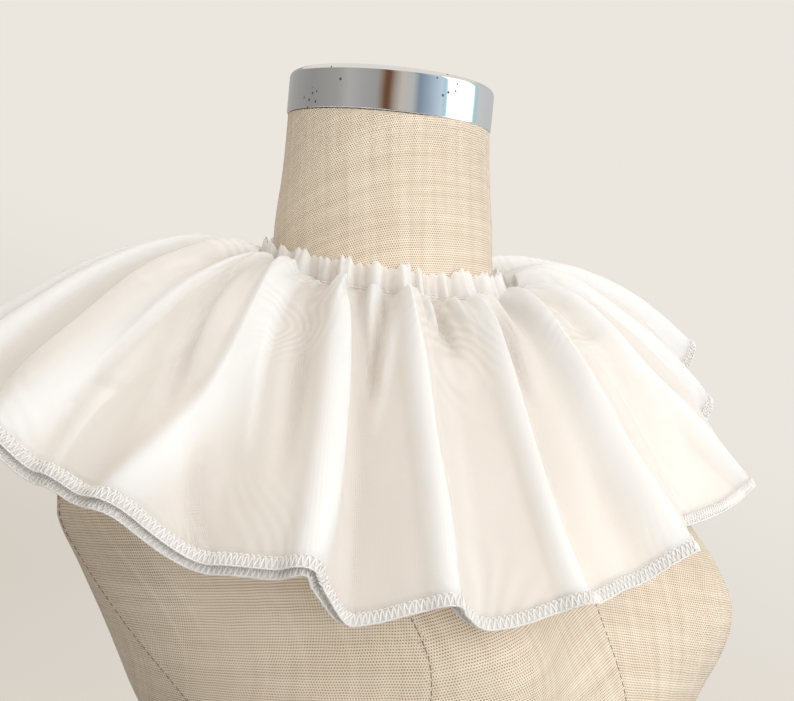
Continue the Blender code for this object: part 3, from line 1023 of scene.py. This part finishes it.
def fold_knots():
    """Crests and troughs in turn, one row each with the values named above."""
    knots = []
    rows = [dict(zip(FOLD_COLUMNS, row)) for row in FOLDS]
    for index, row in enumerate(rows):
        after = rows[(index + 1) % len(rows)]
        turn = 360.0 if index + 1 == len(rows) else 0.0
        share = row["trough_share"]
        neck = blend(row["neck_angle"], after["neck_angle"] + turn, share)
        hem = blend(row["hem_angle"], after["hem_angle"] + turn, share)
        for wave, at_neck, at_hem, kind, mix in (
            (1.0, row["neck_angle"], row["hem_angle"], "crest", 0.0),
            (-1.0, neck, hem, "trough", share),
        ):
            knots.append((
                0.5 * (at_neck + at_hem), 0.5 * (at_hem - at_neck),
                row[f"{kind}_radius"], row[f"{kind}_level"],
                blend(row["rise"], after["rise"], mix), blend(row["fall"], after["fall"], mix), wave,
            ))
    knots.append((knots[0][0] + 360.0, *knots[0][1:]))
    return np.array(knots)


KNOTS = fold_knots()


def fold_at(angle):
    """The fold's values at middle angles, eased from knot to knot."""
    turned = (angle - KNOTS[0, 0]) % 360.0 + KNOTS[0, 0]
    index = np.clip(np.searchsorted(KNOTS[:, 0], turned, side="right") - 1, 0, len(KNOTS) - 2)
    share = ease((turned - KNOTS[index, 0]) / (KNOTS[index + 1, 0] - KNOTS[index, 0]))
    return {
        key: blend(KNOTS[index, column], KNOTS[index + 1, column], share)
        for column, key in enumerate(KNOT_KEYS)
    }


def ring_level(angle):
    """How high the neck ring's top runs at an angle, in millimetres."""
    around = np.radians(angle)
    return RING_LIFT - RING_FRONT_DIP * np.cos(around) + RING_SIDE_RISE * np.sin(around)


# The gathers as finished: tubes of cloth by neck angle, each from its left edge to its right one, and
# how far it stands out in millimetres. Between them the cloth lies flat on the elastic.
TUBE_COLUMNS = ("left", "right", "height")
TUBES = (
    (-177, -169, 3.6),
    (-167, -156, 5.3),
    (-153, -145, 3.6),
    (-143, -132, 5.0),
    (-129, -120, 3.9),
    (-118, -107, 5.0),
    (-104, -94, 5.3),
    (-92, -80, 6.2),
    (-77, -70, 2.4),
    (-67, -58, 6.4),
    (-53, -45, 5.6),
    (-41, -32, 6.4),
    (-31, -27, 3.9),
    (-19, -15, 3.6),
    (-14, 1, 6.2),
    (3, 13, 5.6),
    (15, 22, 3.4),
    (25, 36, 5.0),
    (39, 46, 3.6),
    (49, 60, 5.6),
    (62, 71, 4.5),
    (74, 80, 2.8),
    (83, 94, 5.3),
    (96, 104, 4.2),
    (107, 118, 5.0),
    (120, 127, 3.4),
    (129, 140, 5.3),
    (142, 150, 4.2),
    (153, 164, 5.0),
    (166, 173, 3.4),
)
TUBE_RISE = 0.50
TUBE_DROP = 0.17
CRIMP = 0.35


def gather_fullness(angle):
    """How far the gathers stand out at neck angles, in millimetres."""
    around = np.radians(angle)
    full = np.zeros(np.shape(angle))
    for values in TUBES:
        tube = dict(zip(TUBE_COLUMNS, values))
        run = ((angle - tube["left"] + 180.0) % 360.0 - 180.0) / (tube["right"] - tube["left"])
        rise = step_between(run, 0.0, TUBE_RISE)
        drop = 1.0 - step_between(run, 1.0 - TUBE_DROP, 1.0)
        full = np.maximum(full, tube["height"] * rise * drop)
    return full + CRIMP * np.sin(CRIMPS * around + 2.0 * np.sin(3.0 * around) + 1.0)


def middle_surface(angle, share):
    """Points of the cloth's middle surface without gathers: share 0 at the neck, 1 at the hem."""
    fold = fold_at(angle)
    neck_angle = angle - fold["twist"]
    turn_share = 1.0 - (1.0 - np.minimum(share, 1.0)) ** 2
    around = np.radians(neck_angle + 2.0 * fold["twist"] * turn_share)
    rise, fall = np.radians(fold["rise"]), np.radians(fold["fall"])
    start_level = ring_level(neck_angle) - HEADING_HEIGHT - CLOTH_START_DROP
    radii = (
        CLOTH_START_RADIUS, CLOTH_START_RADIUS + START_HANDLE * np.cos(rise),
        fold["radius"] - HEM_HANDLE * np.cos(fall), fold["radius"],
    )
    levels = (
        start_level, start_level + START_HANDLE * np.sin(rise),
        fold["level"] - HEM_HANDLE * np.sin(fall), fold["level"],
    )
    rest = 1.0 - share
    weights = (rest ** 3, 3 * rest * rest * share, 3 * rest * share * share, share ** 3)
    radius = sum(weight * value for weight, value in zip(weights, radii))
    level = sum(weight * value for weight, value in zip(weights, levels))
    return np.stack([radius * np.sin(around), -radius * np.cos(around), level], axis=-1)


def unit(vectors):
    return vectors / np.linalg.norm(vectors, axis=-1, keepdims=True)


def surface_normal(angle, share):
    """The upward and outward unit normal of the middle surface."""
    across = middle_surface(angle + 0.4, share) - middle_surface(angle - 0.4, share)
    along = middle_surface(angle, share + 0.01) - middle_surface(angle, share - 0.01)
    return -unit(np.cross(across, along))


def curl_edge(row, share):
    """The middle angle of a curl's edge along the cloth: one bend through its three tabled places."""
    first, second, third = CURL_SHARES
    return (
        row["near_neck"] * (share - second) * (share - third) / ((first - second) * (first - third))
        + row["halfway"] * (share - first) * (share - third) / ((second - first) * (second - third))
        + row["at_hem"] * (share - first) * (share - second) / ((third - first) * (third - second))
    )


def arc_away(angle, middle, share):
    """How far along the cloth's width, in millimetres, an angle lies to the right of another."""
    radius = blend(CLOTH_START_RADIUS, CLOTH_END_RADIUS, np.clip(share, 0.0, 1.0))
    return np.radians((angle - middle + 180.0) % 360.0 - 180.0) * radius


def lip(away, left_reach, right_reach):
    """A soft ridge of height 1 over a line, with its own reach on either side."""
    left = 1.0 - step_between(-away, 0.0, left_reach)
    right = 1.0 - step_between(away, 0.0, right_reach)
    return np.where(away < 0.0, left, right)


# How bunched the cloth is runs from 1 on a curl's edge through 0 on plain cloth to this in the hollow
# beside the curl. The hollow's value is painted shade of the valley beside each crest: it makes the cloth
# there clearer and fully the warm tint.
HOLLOW_PAINTED_SHADE = -0.2


def crest_curl(angle, share):
    """How far the crests' curled lips lift the cloth, and how bunched it is there."""
    lift = np.zeros(np.broadcast(angle, share).shape)
    bunch = np.zeros_like(lift)
    hollow = np.zeros_like(lift)
    reach = blend(CURL_NECK_REACH, 1.0, step_between(share, 0.0, 0.6))
    steep_reach = reach * blend(1.0, HEM_ROUNDING, step_between(share, 0.6, 1.0))
    along = step_between(share, 0.02, 0.30)
    for values in CURLS:
        row = dict(zip(CURL_COLUMNS, values))
        away = arc_away(angle, curl_edge(row, share), share)
        if row["left_reach"] > row["right_reach"]:
            shape = lip(away, row["left_reach"] * reach, row["right_reach"] * steep_reach)
        else:
            shape = lip(away, row["left_reach"] * steep_reach, row["right_reach"] * reach)
        lift += row["height"] * shape * along
        bunch = np.maximum(bunch, shape ** 1.6 * along)
        side = math.copysign(1.0, row["left_reach"] - row["right_reach"])
        past = (side * away - HOLLOW_AWAY) / HOLLOW_WIDTH
        hollow = np.maximum(hollow, np.exp(-past ** 2) * (side * away > 0.0) * along)
    # The hollow beside each curl gets painted shade: less than no bunching there.
    return lift, bunch + HOLLOW_PAINTED_SHADE * hollow * (1.0 - bunch)


# Smaller creases, given one by one: the angle at the neck and at the crease's far end, where it starts and
# ends along the cloth, how high it stands or how deep it sinks, and how wide it is on either side.
CREASE_COLUMNS = ("from_angle", "to_angle", "start", "end", "height", "left_reach", "right_reach")
CREASES = (
    (-72, -68, -0.10, 0.78, 4.2, 18, 3.0),
    (-49.5, -47.5, -0.10, 0.44, 3.2, 2.5, 7),
    (-45, -48, 0.04, 0.54, -3.8, 5, 6),
    (-41, -48, 0.20, 0.62, 2.0, 8, 5),
    (-34, -31, -0.05, 0.26, 2.8, 4, 2.5),
    (-29.5, -27, 0.00, 0.36, -3.4, 6, 5),
    (-21, -20, -0.05, 0.30, 2.4, 5, 3),
    (-14, -13, 0.14, 0.54, -2.6, 4, 6),
    (8, 5, 0.03, 0.42, -2.6, 6, 6),
    (-62, -60, 0.10, 0.86, -2.6, 12, 10),
    (-84, -80, 0.18, 0.80, -2.4, 12, 4),
    (-104, -104, 0.25, 0.80, -2.0, 14, 12),
    (-88, -92, 0.55, 1.05, 1.6, 9, 6),
    (-79, -70, 0.62, 1.05, -1.6, 12, 12),
    (26, 14, 0.00, 0.40, 1.8, 8, 4),
    (20, 14, 0.30, 0.95, -1.6, 14, 12),
    (50, 46, 0.02, 0.45, 2.2, 9, 4),
    (96, 95, 0.00, 0.40, 1.8, 7, 5),
    (113, 114, 0.00, 0.50, 2.2, 8, 5),
    (131, 130, 0.00, 0.36, 1.8, 7, 5),
    (149, 149, 0.00, 0.55, 2.2, 9, 5),
    (168, 168, 0.00, 0.35, 1.8, 7, 5),
    (-166, -163, 0.00, 0.50, 2.0, 8, 5),
    (-150, -148, 0.00, 0.34, 1.8, 7, 5),
    (-137, -135, 0.00, 0.45, 2.2, 8, 5),
    (-123, -121, 0.00, 0.34, 1.8, 7, 5),
)


# A crease of this height is as bunched as a curl's edge.
FULL_CREASE = 4.5


def small_creases(angle, share):
    """How far the small creases lift the cloth, and how bunched it is there."""
    lift = np.zeros(np.broadcast(angle, share).shape)
    bunch = np.zeros_like(lift)
    for values in CREASES:
        row = dict(zip(CREASE_COLUMNS, values))
        run = np.clip((share - row["start"]) / (row["end"] - row["start"]), 0.0, 1.0)
        middle = blend(row["from_angle"], row["to_angle"], run)
        shape = lip(arc_away(angle, middle, share), row["left_reach"], row["right_reach"])
        shape = shape * np.sin(np.pi * run) ** 0.7
        lift += row["height"] * shape
        bunch += row["height"] / FULL_CREASE * shape ** 1.3
    return lift, bunch


def soft_unevenness(angle, share):
    """Broad shallow rises and dips, so that no stretch of the cloth is ruled."""
    around = np.radians(angle)
    slow = np.sin(3.0 * around + 5.0 * share + 0.4) * np.sin(11.0 * share + 2.0 * np.sin(2.0 * around))
    quick = np.sin(17.0 * around + 9.0 * share) * np.sin(7.0 * share + 1.3 + np.sin(5.0 * around))
    return (0.9 * slow + 0.5 * quick) * step_between(share, 0.12, 0.5)


def gather_push(angle, share):
    """The gathers' push, straight out from the neck at the stitches and off the cloth further on."""
    neck_angle = angle - fold_at(angle)["twist"]
    outward = outward_at(np.radians(neck_angle))
    turn = step_between(share, 0.0, GATHER_TURN)[..., None]
    way = unit(outward * (1.0 - turn) + surface_normal(angle, share) * turn)
    fade = 1.0 - step_between(share, 0.0, GATHER_FADE)
    return way * (gather_fullness(neck_angle) * fade)[..., None]


def cloth_lift(angle, share):
    """Everything that stands off the middle surface along its normal."""
    near_neck = step_between(share, 0.0, 0.16) * (1.0 - step_between(share, 0.2, 0.75))
    folds = NEAR_NECK_RELIEF * near_neck * fold_at(angle)["wave"]
    creased = crest_curl(angle, share)[0] + small_creases(angle, share)[0]
    return folds + creased + soft_unevenness(angle, share)


def cloth_point(angle, share, offset):
    """Points of the finished cloth, offset millimetres off its middle."""
    angle, share = np.broadcast_arrays(np.asarray(angle, float), np.asarray(share, float))
    off = surface_normal(angle, share) * (cloth_lift(angle, share) + offset)[..., None]
    return middle_surface(angle, share) + gather_push(angle, share) + off


STRIP_RADIUS = 130.1
CLOTH_DEPTH = 185.0
BAND_WIDTH = 4.2
CLOTH_THICKNESS = 0.34
UNDER_START_OFFSET = -1.45
UNDER_OFFSET = -3.6
UNDER_SETTLE = 0.16
UNDER_HANG = (
    (-180, 0.6),
    (-130, 1.6),
    (-90, 3.2),
    (-68, 2.2),
    (-58, 2.4),
    (-48, -1.8),
    (4, -1.6),
    (34, 0.4),
    (90, 0.4),
    (180, 0.6),
)
UPPER_COLUMN_STEP = 0.6
UNDER_COLUMN_STEP = 1.0
CURL_CLEARANCE = 2.7
GATHERED_SHARE = 0.22
CURL_STEPS = (-2.4, -1.8, -1.3, -0.9, -0.6, -0.35, -0.15, 0.0, 0.15, 0.35, 0.6, 0.9, 1.3, 1.8, 2.4)


def cloth_columns(step):
    """Middle angles of the mesh's columns halfway along the cloth, closer together on each curl."""
    columns = set(np.round(np.arange(-180.0, 180.0, step), 3))
    for values in CURLS:
        curl = values[CURL_COLUMNS.index("halfway")]
        columns -= {
            angle for angle in columns if abs((angle - curl + 180.0) % 360.0 - 180.0) < CURL_CLEARANCE
        }
        columns |= {round((curl + extra + 180.0) % 360.0 - 180.0, 3) for extra in CURL_STEPS}
    return np.array(sorted(columns))


def follow_curls(columns, shares):
    """The columns' middle angles at each share: a column on a curl's edge stays on it."""
    rows = [dict(zip(CURL_COLUMNS, values)) for values in CURLS]
    halfway = np.array([row["halfway"] for row in rows])
    halfway = np.concatenate([[halfway[-1] - 360.0], halfway, [halfway[0] + 360.0]])
    angles = []
    for share in shares:
        edges = np.array([curl_edge(row, share) for row in rows])
        edges = np.concatenate([[edges[-1] - 360.0], edges, [edges[0] + 360.0]])
        angles.append(np.interp(columns, halfway, edges))
    return np.array(angles)


def cloth_rows(near_neck, further):
    """Shares from the stitches to the hem, closer together over the gathers."""
    first = GATHERED_SHARE * np.linspace(0.0, 1.0, near_neck, endpoint=False) ** 1.15
    return np.concatenate([first, np.linspace(GATHERED_SHARE, 1.0, further)])


def longer_by(angle):
    """How much further than the upper layer the under layer hangs."""
    angles, longer = np.array(UNDER_HANG, float).T
    index = np.clip(np.searchsorted(angles, angle, side="right") - 1, 0, len(angles) - 2)
    share = step_between(angle, angles[index], angles[index + 1])
    return blend(longer[index], longer[index + 1], share)


def layer_offset(share, under):
    """How far a layer lies off the middle surface: none for the upper one."""
    if not under:
        return np.zeros_like(share)
    return blend(UNDER_START_OFFSET, UNDER_OFFSET, step_between(share, 0.0, UNDER_SETTLE))


def hem_share(angle, under):
    """The share along the cloth at which a layer's hem lies."""
    return 1.0 + (longer_by(angle) if under else 0.0) / HEM_SPEED


def wall_faces(rows, segments):
    """Quads of a wall closed round the neck: outer grid first, then the inner one."""
    faces = []
    inner = rows * segments
    for row in range(rows - 1):
        for segment in range(segments):
            after = (segment + 1) % segments
            a, b = row * segments + segment, row * segments + after
            faces.append((a, a + segments, b + segments, b))
            faces.append((a + inner, b + inner, b + segments + inner, a + segments + inner))
    last = (rows - 1) * segments
    for segment in range(segments):
        after = (segment + 1) % segments
        faces.append((segment, after, after + inner, segment + inner))
        faces.append((last + segment, last + segment + inner, last + after + inner, last + after))
    return faces


# How bunched the gathers are: fully where they stand this far out, and less than plain cloth between
# them. The casing is bunched all round, and most on its gathers.
FULL_GATHER = 5.5
BETWEEN_GATHERS = 0.35
LEAST_BUNCHING = -0.6
CASING_BUNCHING = 0.30
CASING_GATHER = 0.60


def store_strip(made, bunch, flat):
    """Stores the bunching and the flat strip's coordinates, both given for the outer wall's points."""
    stored = made.data.attributes.new("bunch", "FLOAT", "POINT")
    stored.data.foreach_set("value", np.tile(bunch.ravel(), 2).astype(np.float32))
    strip = made.data.uv_layers.new(name="strip")
    loops = np.empty(len(made.data.loops), np.int32)
    made.data.loops.foreach_get("vertex_index", loops)
    both_walls = np.tile(flat.reshape(-1, 2), (2, 1))
    strip.data.foreach_set("uv", both_walls[loops].astype(np.float32).ravel())
    made.data.shade_smooth()


def make_cloth(name, columns, shares, under):
    """One organza layer as a thin closed shell, with its strip coordinates and its bunching stored."""
    angle = follow_curls(columns, shares)
    end = hem_share(angle, under) - 0.75 * BAND_WIDTH / HEM_SPEED
    share = np.broadcast_to(shares[:, None] * end, angle.shape)
    offset = layer_offset(share, under)
    outer = cloth_point(angle, share, offset + 0.5 * CLOTH_THICKNESS)
    inner = cloth_point(angle, share, offset - 0.5 * CLOTH_THICKNESS)
    points = np.concatenate([outer.reshape(-1, 3), inner.reshape(-1, 3)])
    made = link_mesh(name, lifted(points), wall_faces(len(shares), len(columns)))
    bunch = crest_curl(angle, share)[1] + small_creases(angle, share)[1]
    neck_angle = angle - fold_at(angle)["twist"]
    tubes = np.clip(gather_fullness(neck_angle) / FULL_GATHER, 0.0, 1.0) - BETWEEN_GATHERS
    nearby = 1.0 - step_between(share, 0.02, 0.3)
    bunch = np.clip(bunch + nearby * tubes, LEAST_BUNCHING, 1.0)
    across = np.radians(angle) * STRIP_RADIUS * MM
    store_strip(made, bunch, np.stack([across, share * CLOTH_DEPTH * MM], axis=-1))
    return made


# Organza is a sheer plain weave of fine stiff thread: it lets through much of what lies behind it, and two
# layers of it show faint watered rings. Its colour is a painted show-through: a warm cream on plain cloth
# stands in for the lit linen seen through it, turning a cooler milky white where the cloth is bunched.
ORGANZA_PAINTED_SHOW_THROUGH = (0.975, 0.945, 0.912)
ORGANZA_FOLDED = (0.94, 0.94, 0.938)
ORGANZA_COVER = 0.30
ORGANZA_BUNCHED = 0.28
ORGANZA_EDGEWISE = 0.24
ORGANZA_MOST = 0.93
ORGANZA_BACKLIT = 0.34
ORGANZA_WHITENS = (-0.15, 0.6)
MOIRE_RINGS = 16.0
MOIRE_DEPTH = 0.028
MOIRE_PATCH = 0.083
ORGANZA_PITCH = 0.0006
ORGANZA_THREAD_DEPTH = 0.02


def organza_material():
    """Sheer organza whose cover grows where it is bunched or seen edge-on."""
    made = new_material("sheer_organza")
    tree = made.node_tree
    place = node(tree, "ShaderNodeTexCoord")
    strip = node(tree, "ShaderNodeUVMap", uv_map="strip")
    bunch = node(tree, "ShaderNodeAttribute", attribute_name="bunch").outputs["Fac"]
    # Watered rings: level lines of a slow noise, shown only in patches.
    slow = noise(tree, place.outputs["Object"], 13.0, 1.0, 0.4, (1.0, 1.0, 0.55))
    rings = math_node(tree, "SINE", math_node(tree, "MULTIPLY", slow, 2.0 * math.pi * MOIRE_RINGS))
    run = node(tree, "ShaderNodeSeparateXYZ")
    tree.links.new(strip.outputs[0], run.inputs[0])
    patches = math_node(
        tree, "MULTIPLY",
        thread_wave(tree, run.outputs["X"], MOIRE_PATCH),
        thread_wave(tree, run.outputs["Y"], 2.0 * MOIRE_PATCH),
    )
    patches = map_range(tree, patches, 0.1, 0.6, 0.0, 1.0)
    watered = math_node(tree, "MULTIPLY", math_node(tree, "MULTIPLY", rings, patches), MOIRE_DEPTH)
    # The weave's threads, round the strip and down it.
    threads = math_node(
        tree, "ADD",
        thread_wave(tree, run.outputs["X"], ORGANZA_PITCH),
        thread_wave(tree, run.outputs["Y"], ORGANZA_PITCH),
    )
    threads = math_node(tree, "MULTIPLY_ADD", threads, ORGANZA_THREAD_DEPTH, -ORGANZA_THREAD_DEPTH)
    facing = node(tree, "ShaderNodeLayerWeight")
    facing.inputs["Blend"].default_value = 0.35
    cover = math_node(tree, "MULTIPLY_ADD", bunch, ORGANZA_BUNCHED, ORGANZA_COVER)
    cover = math_node(tree, "MULTIPLY_ADD", facing.outputs["Facing"], ORGANZA_EDGEWISE, cover)
    cover = math_node(tree, "ADD", cover, math_node(tree, "ADD", threads, watered))
    cover = math_node(tree, "MINIMUM", math_node(tree, "MAXIMUM", cover, 0.0), ORGANZA_MOST)
    # The colour is a painted show-through: warm cream where the cloth is plain or clear, a cooler white
    # where it is bunched.
    whitened = map_range(tree, bunch, *ORGANZA_WHITENS, 0.0, 1.0)
    white = mix_colours(tree, whitened, ORGANZA_PAINTED_SHOW_THROUGH, ORGANZA_FOLDED)
    cloth = node(tree, "ShaderNodeBsdfPrincipled")
    tree.links.new(white, cloth.inputs["Base Color"])
    cloth.inputs["Roughness"].default_value = 0.5
    cloth.inputs["Specular IOR Level"].default_value = 0.3
    backlit = node(tree, "ShaderNodeBsdfTranslucent")
    tree.links.new(white, backlit.inputs["Color"])
    solid = mix_shaders(tree, ORGANZA_BACKLIT, cloth, backlit)
    clear = node(tree, "ShaderNodeBsdfTransparent")
    set_surface(tree, mix_shaders(tree, cover, clear, solid))
    return made


ORGANZA = organza_material()

organza_upper = make_cloth("organza_upper", cloth_columns(UPPER_COLUMN_STEP), cloth_rows(20, 36), False)
organza_upper.data.materials.append(ORGANZA)
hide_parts("collar_upper")
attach(organza_upper, "root")


# Ruff, under layer. A second flounce of the same organza and cut, gathered in the same stitches, which
# hangs just under the first and a little lower on the form's right side.
organza_under = make_cloth("organza_under", cloth_columns(UNDER_COLUMN_STEP), cloth_rows(10, 26), True)
organza_under.data.materials.append(ORGANZA)
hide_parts("collar_under")
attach(organza_under, "root")


# Gathered heading. Both neck edges are turned over a narrow elastic and stitched round, so the organza
# stands up above the stitches in a ring of small uneven tubes with a scalloped top.
HEADING_RADIUS = 58.2
HEADING_FLARE = 1.3
HEADING_TOP_FULLNESS = 0.32
HEADING_TUCK = 1.06
HEADING_THICKNESS = 0.7
HEADING_PINCH = 0.5
PINCH_SHARE = 0.93
PINCH_WIDTH = 0.06
HEADING_RIPPLE = 0.6
SLOW_RIPPLES = 31.0
SCALLOP = 2.0
HEADING_STEPS = 14


def heading_middle(angle, share):
    """Points of the heading from its scalloped top edge, share 0, to the stitches, share 1."""
    around = np.radians(angle)
    full = gather_fullness(angle)
    pinch = HEADING_PINCH * np.exp(-((share - PINCH_SHARE) / PINCH_WIDTH) ** 2)
    radius = HEADING_RADIUS + HEADING_FLARE * np.minimum(share, 1.0) ** 2 - pinch
    radius = radius + full * blend(HEADING_TOP_FULLNESS, 1.0, np.clip(share, 0.0, 1.0) ** 0.8)
    ripple = HEADING_RIPPLE * (np.sin(CRIMPS * around + 1.0) + np.sin(SLOW_RIPPLES * around))
    level = ring_level(angle) - (HEADING_HEIGHT + 0.6) * share
    level = level + (SCALLOP * (0.25 * full - 0.4) + ripple) * np.clip(1.0 - share, 0.0, 1.0) ** 1.5
    return np.stack([radius * np.sin(around), -radius * np.cos(around), level], axis=-1)


def make_heading():
    """The gathered casing as one thin closed shell."""
    columns = np.arange(-180.0, 180.0, 0.45)
    # The strip runs down the outside, round the stitches and up the inside, closed over its top.
    shares = np.linspace(0.0, HEADING_TUCK, HEADING_STEPS)
    angle, share = np.meshgrid(columns, shares)
    around = np.radians(angle)
    outward = outward_at(around)
    middle = heading_middle(angle, share)
    rounded = np.sqrt(np.clip(1.0 - (1.0 - np.minimum(share / 0.12, 1.0)) ** 2, 0.02, 1.0))
    outer = middle + outward * (0.5 * HEADING_THICKNESS * rounded)[..., None]
    inner = middle - outward * (0.5 * HEADING_THICKNESS * rounded)[..., None]
    points = np.concatenate([outer.reshape(-1, 3), inner.reshape(-1, 3)])
    made = link_mesh("gathered_casing", lifted(points), wall_faces(len(shares), len(columns)))
    bunch = CASING_BUNCHING + CASING_GATHER * np.clip(gather_fullness(angle) / FULL_GATHER, 0.0, 1.0)
    store_strip(made, bunch, np.stack([around * HEADING_RADIUS * MM, share * HEADING_HEIGHT * MM], axis=-1))
    made.data.materials.append(ORGANZA)
    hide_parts("gathered_heading")
    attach(made, "root")
    return made


gathered_casing = make_heading()

# Gathering stitches. A row of white thread holds the casing shut over the elastic and both flounces
# to it.
GATHER_STITCH = 2.3
GATHER_THREAD = 0.34
GATHER_THREAD_LIFT = 0.08
GATHER_RUNS = (((-0.44, 0.0, -0.6), (0.0, 0.0, 0.9), (0.44, 0.0, -0.6)),)
GATHER_SHARE = 0.90
THREAD_WHITE = thread_material(
    "white_thread", (0.985, 0.975, 0.96), (0.93, 0.915, 0.89), 0.65, 2600.0, let_through=0.35,
)


def make_gather_stitches():
    """The row of stitches that holds the casing, as one piece."""
    angles = np.arange(-180.0, 180.0, 0.1)
    outward = outward_at(np.radians(angles))
    line = heading_middle(angles, np.full_like(angles, GATHER_SHARE))
    line = line + outward * (0.5 * HEADING_THICKNESS + GATHER_THREAD_LIFT)
    run = run_along(line)
    places, ways, outs = [], [], []
    for at in np.arange(0.0, run[-1] - 0.5 * GATHER_STITCH, GATHER_STITCH):
        index = min(int(np.searchsorted(run, at)), len(line) - 2)
        way = line[index + 1] - line[index]
        side = np.cross(way, (0.0, 0.0, 1.0))
        side = side if np.dot(side, outward[index]) > 0.0 else -side
        places.append(line[index])
        ways.append(way / np.linalg.norm(way))
        outs.append(side / np.linalg.norm(side))
    sizes = {
        "Thread Width": GATHER_THREAD * MM, "Stitch Length": GATHER_STITCH * MM,
        "Stitch Width": 1.0 * MM, "Stitch Height": 0.3 * MM, "Unevenness": 0.12,
    }
    tree = stitch_tree("gathering_stitches", sizes, GATHER_RUNS, THREAD_WHITE, seed=5)
    carrier = point_object("gathering_places", np.array(places), np.array(ways), np.array(outs))
    made = grown(carrier, tree, "gathering_stitches", sizes)
    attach(made, "root")
    return made


gathering_stitches = make_gather_stitches()


# Overlocked edges. Each raw hem is trimmed and wrapped by a three-thread overlock: looper threads lean
# across the edge above and below, lock in a row of small knots along it, and one needle line holds
# them on the cloth.
OVERLOCK_PITCH = 2.15
OVERLOCK_THREAD_WIDTH = 0.76
OVERLOCK_CORE = 0.90
OVERLOCK_HEIGHT = 0.85
BOUND_EDGE = thread_material(
    "bound_edge", (0.95, 0.94, 0.92), (0.87, 0.855, 0.83), 0.75, 1300.0, let_through=0.4,
)
# The bead's section, as shares of the band's width and its height in millimetres before the core's scale.
BEAD_STEP = 6
BEAD_SECTION = (
    (-0.50, 0.25), (-0.30, 0.46), (0.0, 0.52), (0.32, 0.46), (0.49, 0.2),
    (0.49, -0.2), (0.32, -0.46), (0.0, -0.52), (-0.30, -0.46), (-0.50, -0.25),
)
OVERLOCK_RUNS = (
    ((-0.52, -0.50, 0.75), (-0.20, 0.05, 1.25), (0.18, 0.50, 0.55)),
    ((0.18, 0.50, 0.55), (0.42, 0.00, 0.95), (0.50, -0.50, 0.70)),
    ((-0.42, 0.50, 0.50), (0.05, 0.62, 0.00), (0.50, 0.50, -0.50)),
    ((-0.48, 0.50, -0.55), (0.00, 0.00, -1.15), (0.40, -0.48, -0.70)),
    ((-0.46, -0.53, 0.55), (0.00, -0.53, 1.10), (0.46, -0.53, 0.55)),
)


def hem_frame(under):
    """Points down the middle of a hem's band with their way along, way across and outward normal."""
    angles = np.arange(-180.0, 180.0, 0.05)
    middle_share = hem_share(angles, under) - 0.5 * BAND_WIDTH / HEM_SPEED
    offset = layer_offset(middle_share, under)
    line = cloth_point(angles, middle_share, offset)
    edge = cloth_point(angles, middle_share + 0.5 / HEM_SPEED, offset)
    along = unit(np.roll(line, -1, axis=0) - np.roll(line, 1, axis=0))
    across = edge - line
    across = unit(across - along * np.sum(across * along, axis=1, keepdims=True))
    return line, along, across, np.cross(along, across) * -1.0


def outward_faces(thing):
    """Turns a closed mesh's faces outward."""
    work = bmesh.new()
    work.from_mesh(thing.data)
    bmesh.ops.recalc_face_normals(work, faces=work.faces)
    work.to_mesh(thing.data)
    work.free()


def make_overlock(name, cad_node, under, seed):
    """One hem's bead and its stitches."""
    line, along, across, out = hem_frame(under)
    upright = np.where(np.sum(out * (0.0, 0.0, 1.0), axis=1, keepdims=True) < 0.0, -1.0, 1.0)
    out = out * upright
    # The cloth inside the stitches: a flat bead right round the hem.
    picked = np.arange(0, len(line), BEAD_STEP)
    ring = [
        line[picked] + across[picked] * side * BAND_WIDTH + out[picked] * height * OVERLOCK_CORE
        for side, height in BEAD_SECTION
    ]
    count, sides = len(picked), len(ring)
    faces = []
    for side in range(sides):
        after = (side + 1) % sides
        for index in range(count):
            onward = (index + 1) % count
            faces.append((
                side * count + index, after * count + index,
                after * count + onward, side * count + onward,
            ))
    core = link_mesh(f"{name}_core", lifted(np.concatenate(ring)), faces)
    core.data.materials.append(BOUND_EDGE)
    core.data.shade_smooth()
    outward_faces(core)
    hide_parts(cad_node)
    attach(core, "root")
    run = run_along(np.vstack([line, line[:1]]))
    stitches = int(round(run[-1] / OVERLOCK_PITCH))
    spots = np.searchsorted(run, run[-1] * (np.arange(stitches) + 0.5) / stitches) % len(line)
    sizes = {
        "Thread Width": OVERLOCK_THREAD_WIDTH * MM, "Stitch Length": run[-1] / stitches * MM,
        "Stitch Width": BAND_WIDTH * MM, "Stitch Height": OVERLOCK_HEIGHT * MM, "Unevenness": 0.10,
    }
    tree = stitch_tree(f"{name}_stitches", sizes, OVERLOCK_RUNS, THREAD_WHITE, seed, steps=3, sides=4)
    carrier = point_object(f"{name}_places", line[spots], along[spots], out[spots])
    stitched = grown(carrier, tree, f"{name}_stitches", sizes)
    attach(stitched, "root")
    return [core, stitched]


overlock_upper = make_overlock("overlock_upper", "edge_upper", False, 11)
overlock_under = make_overlock("overlock_under", "edge_under", True, 17)
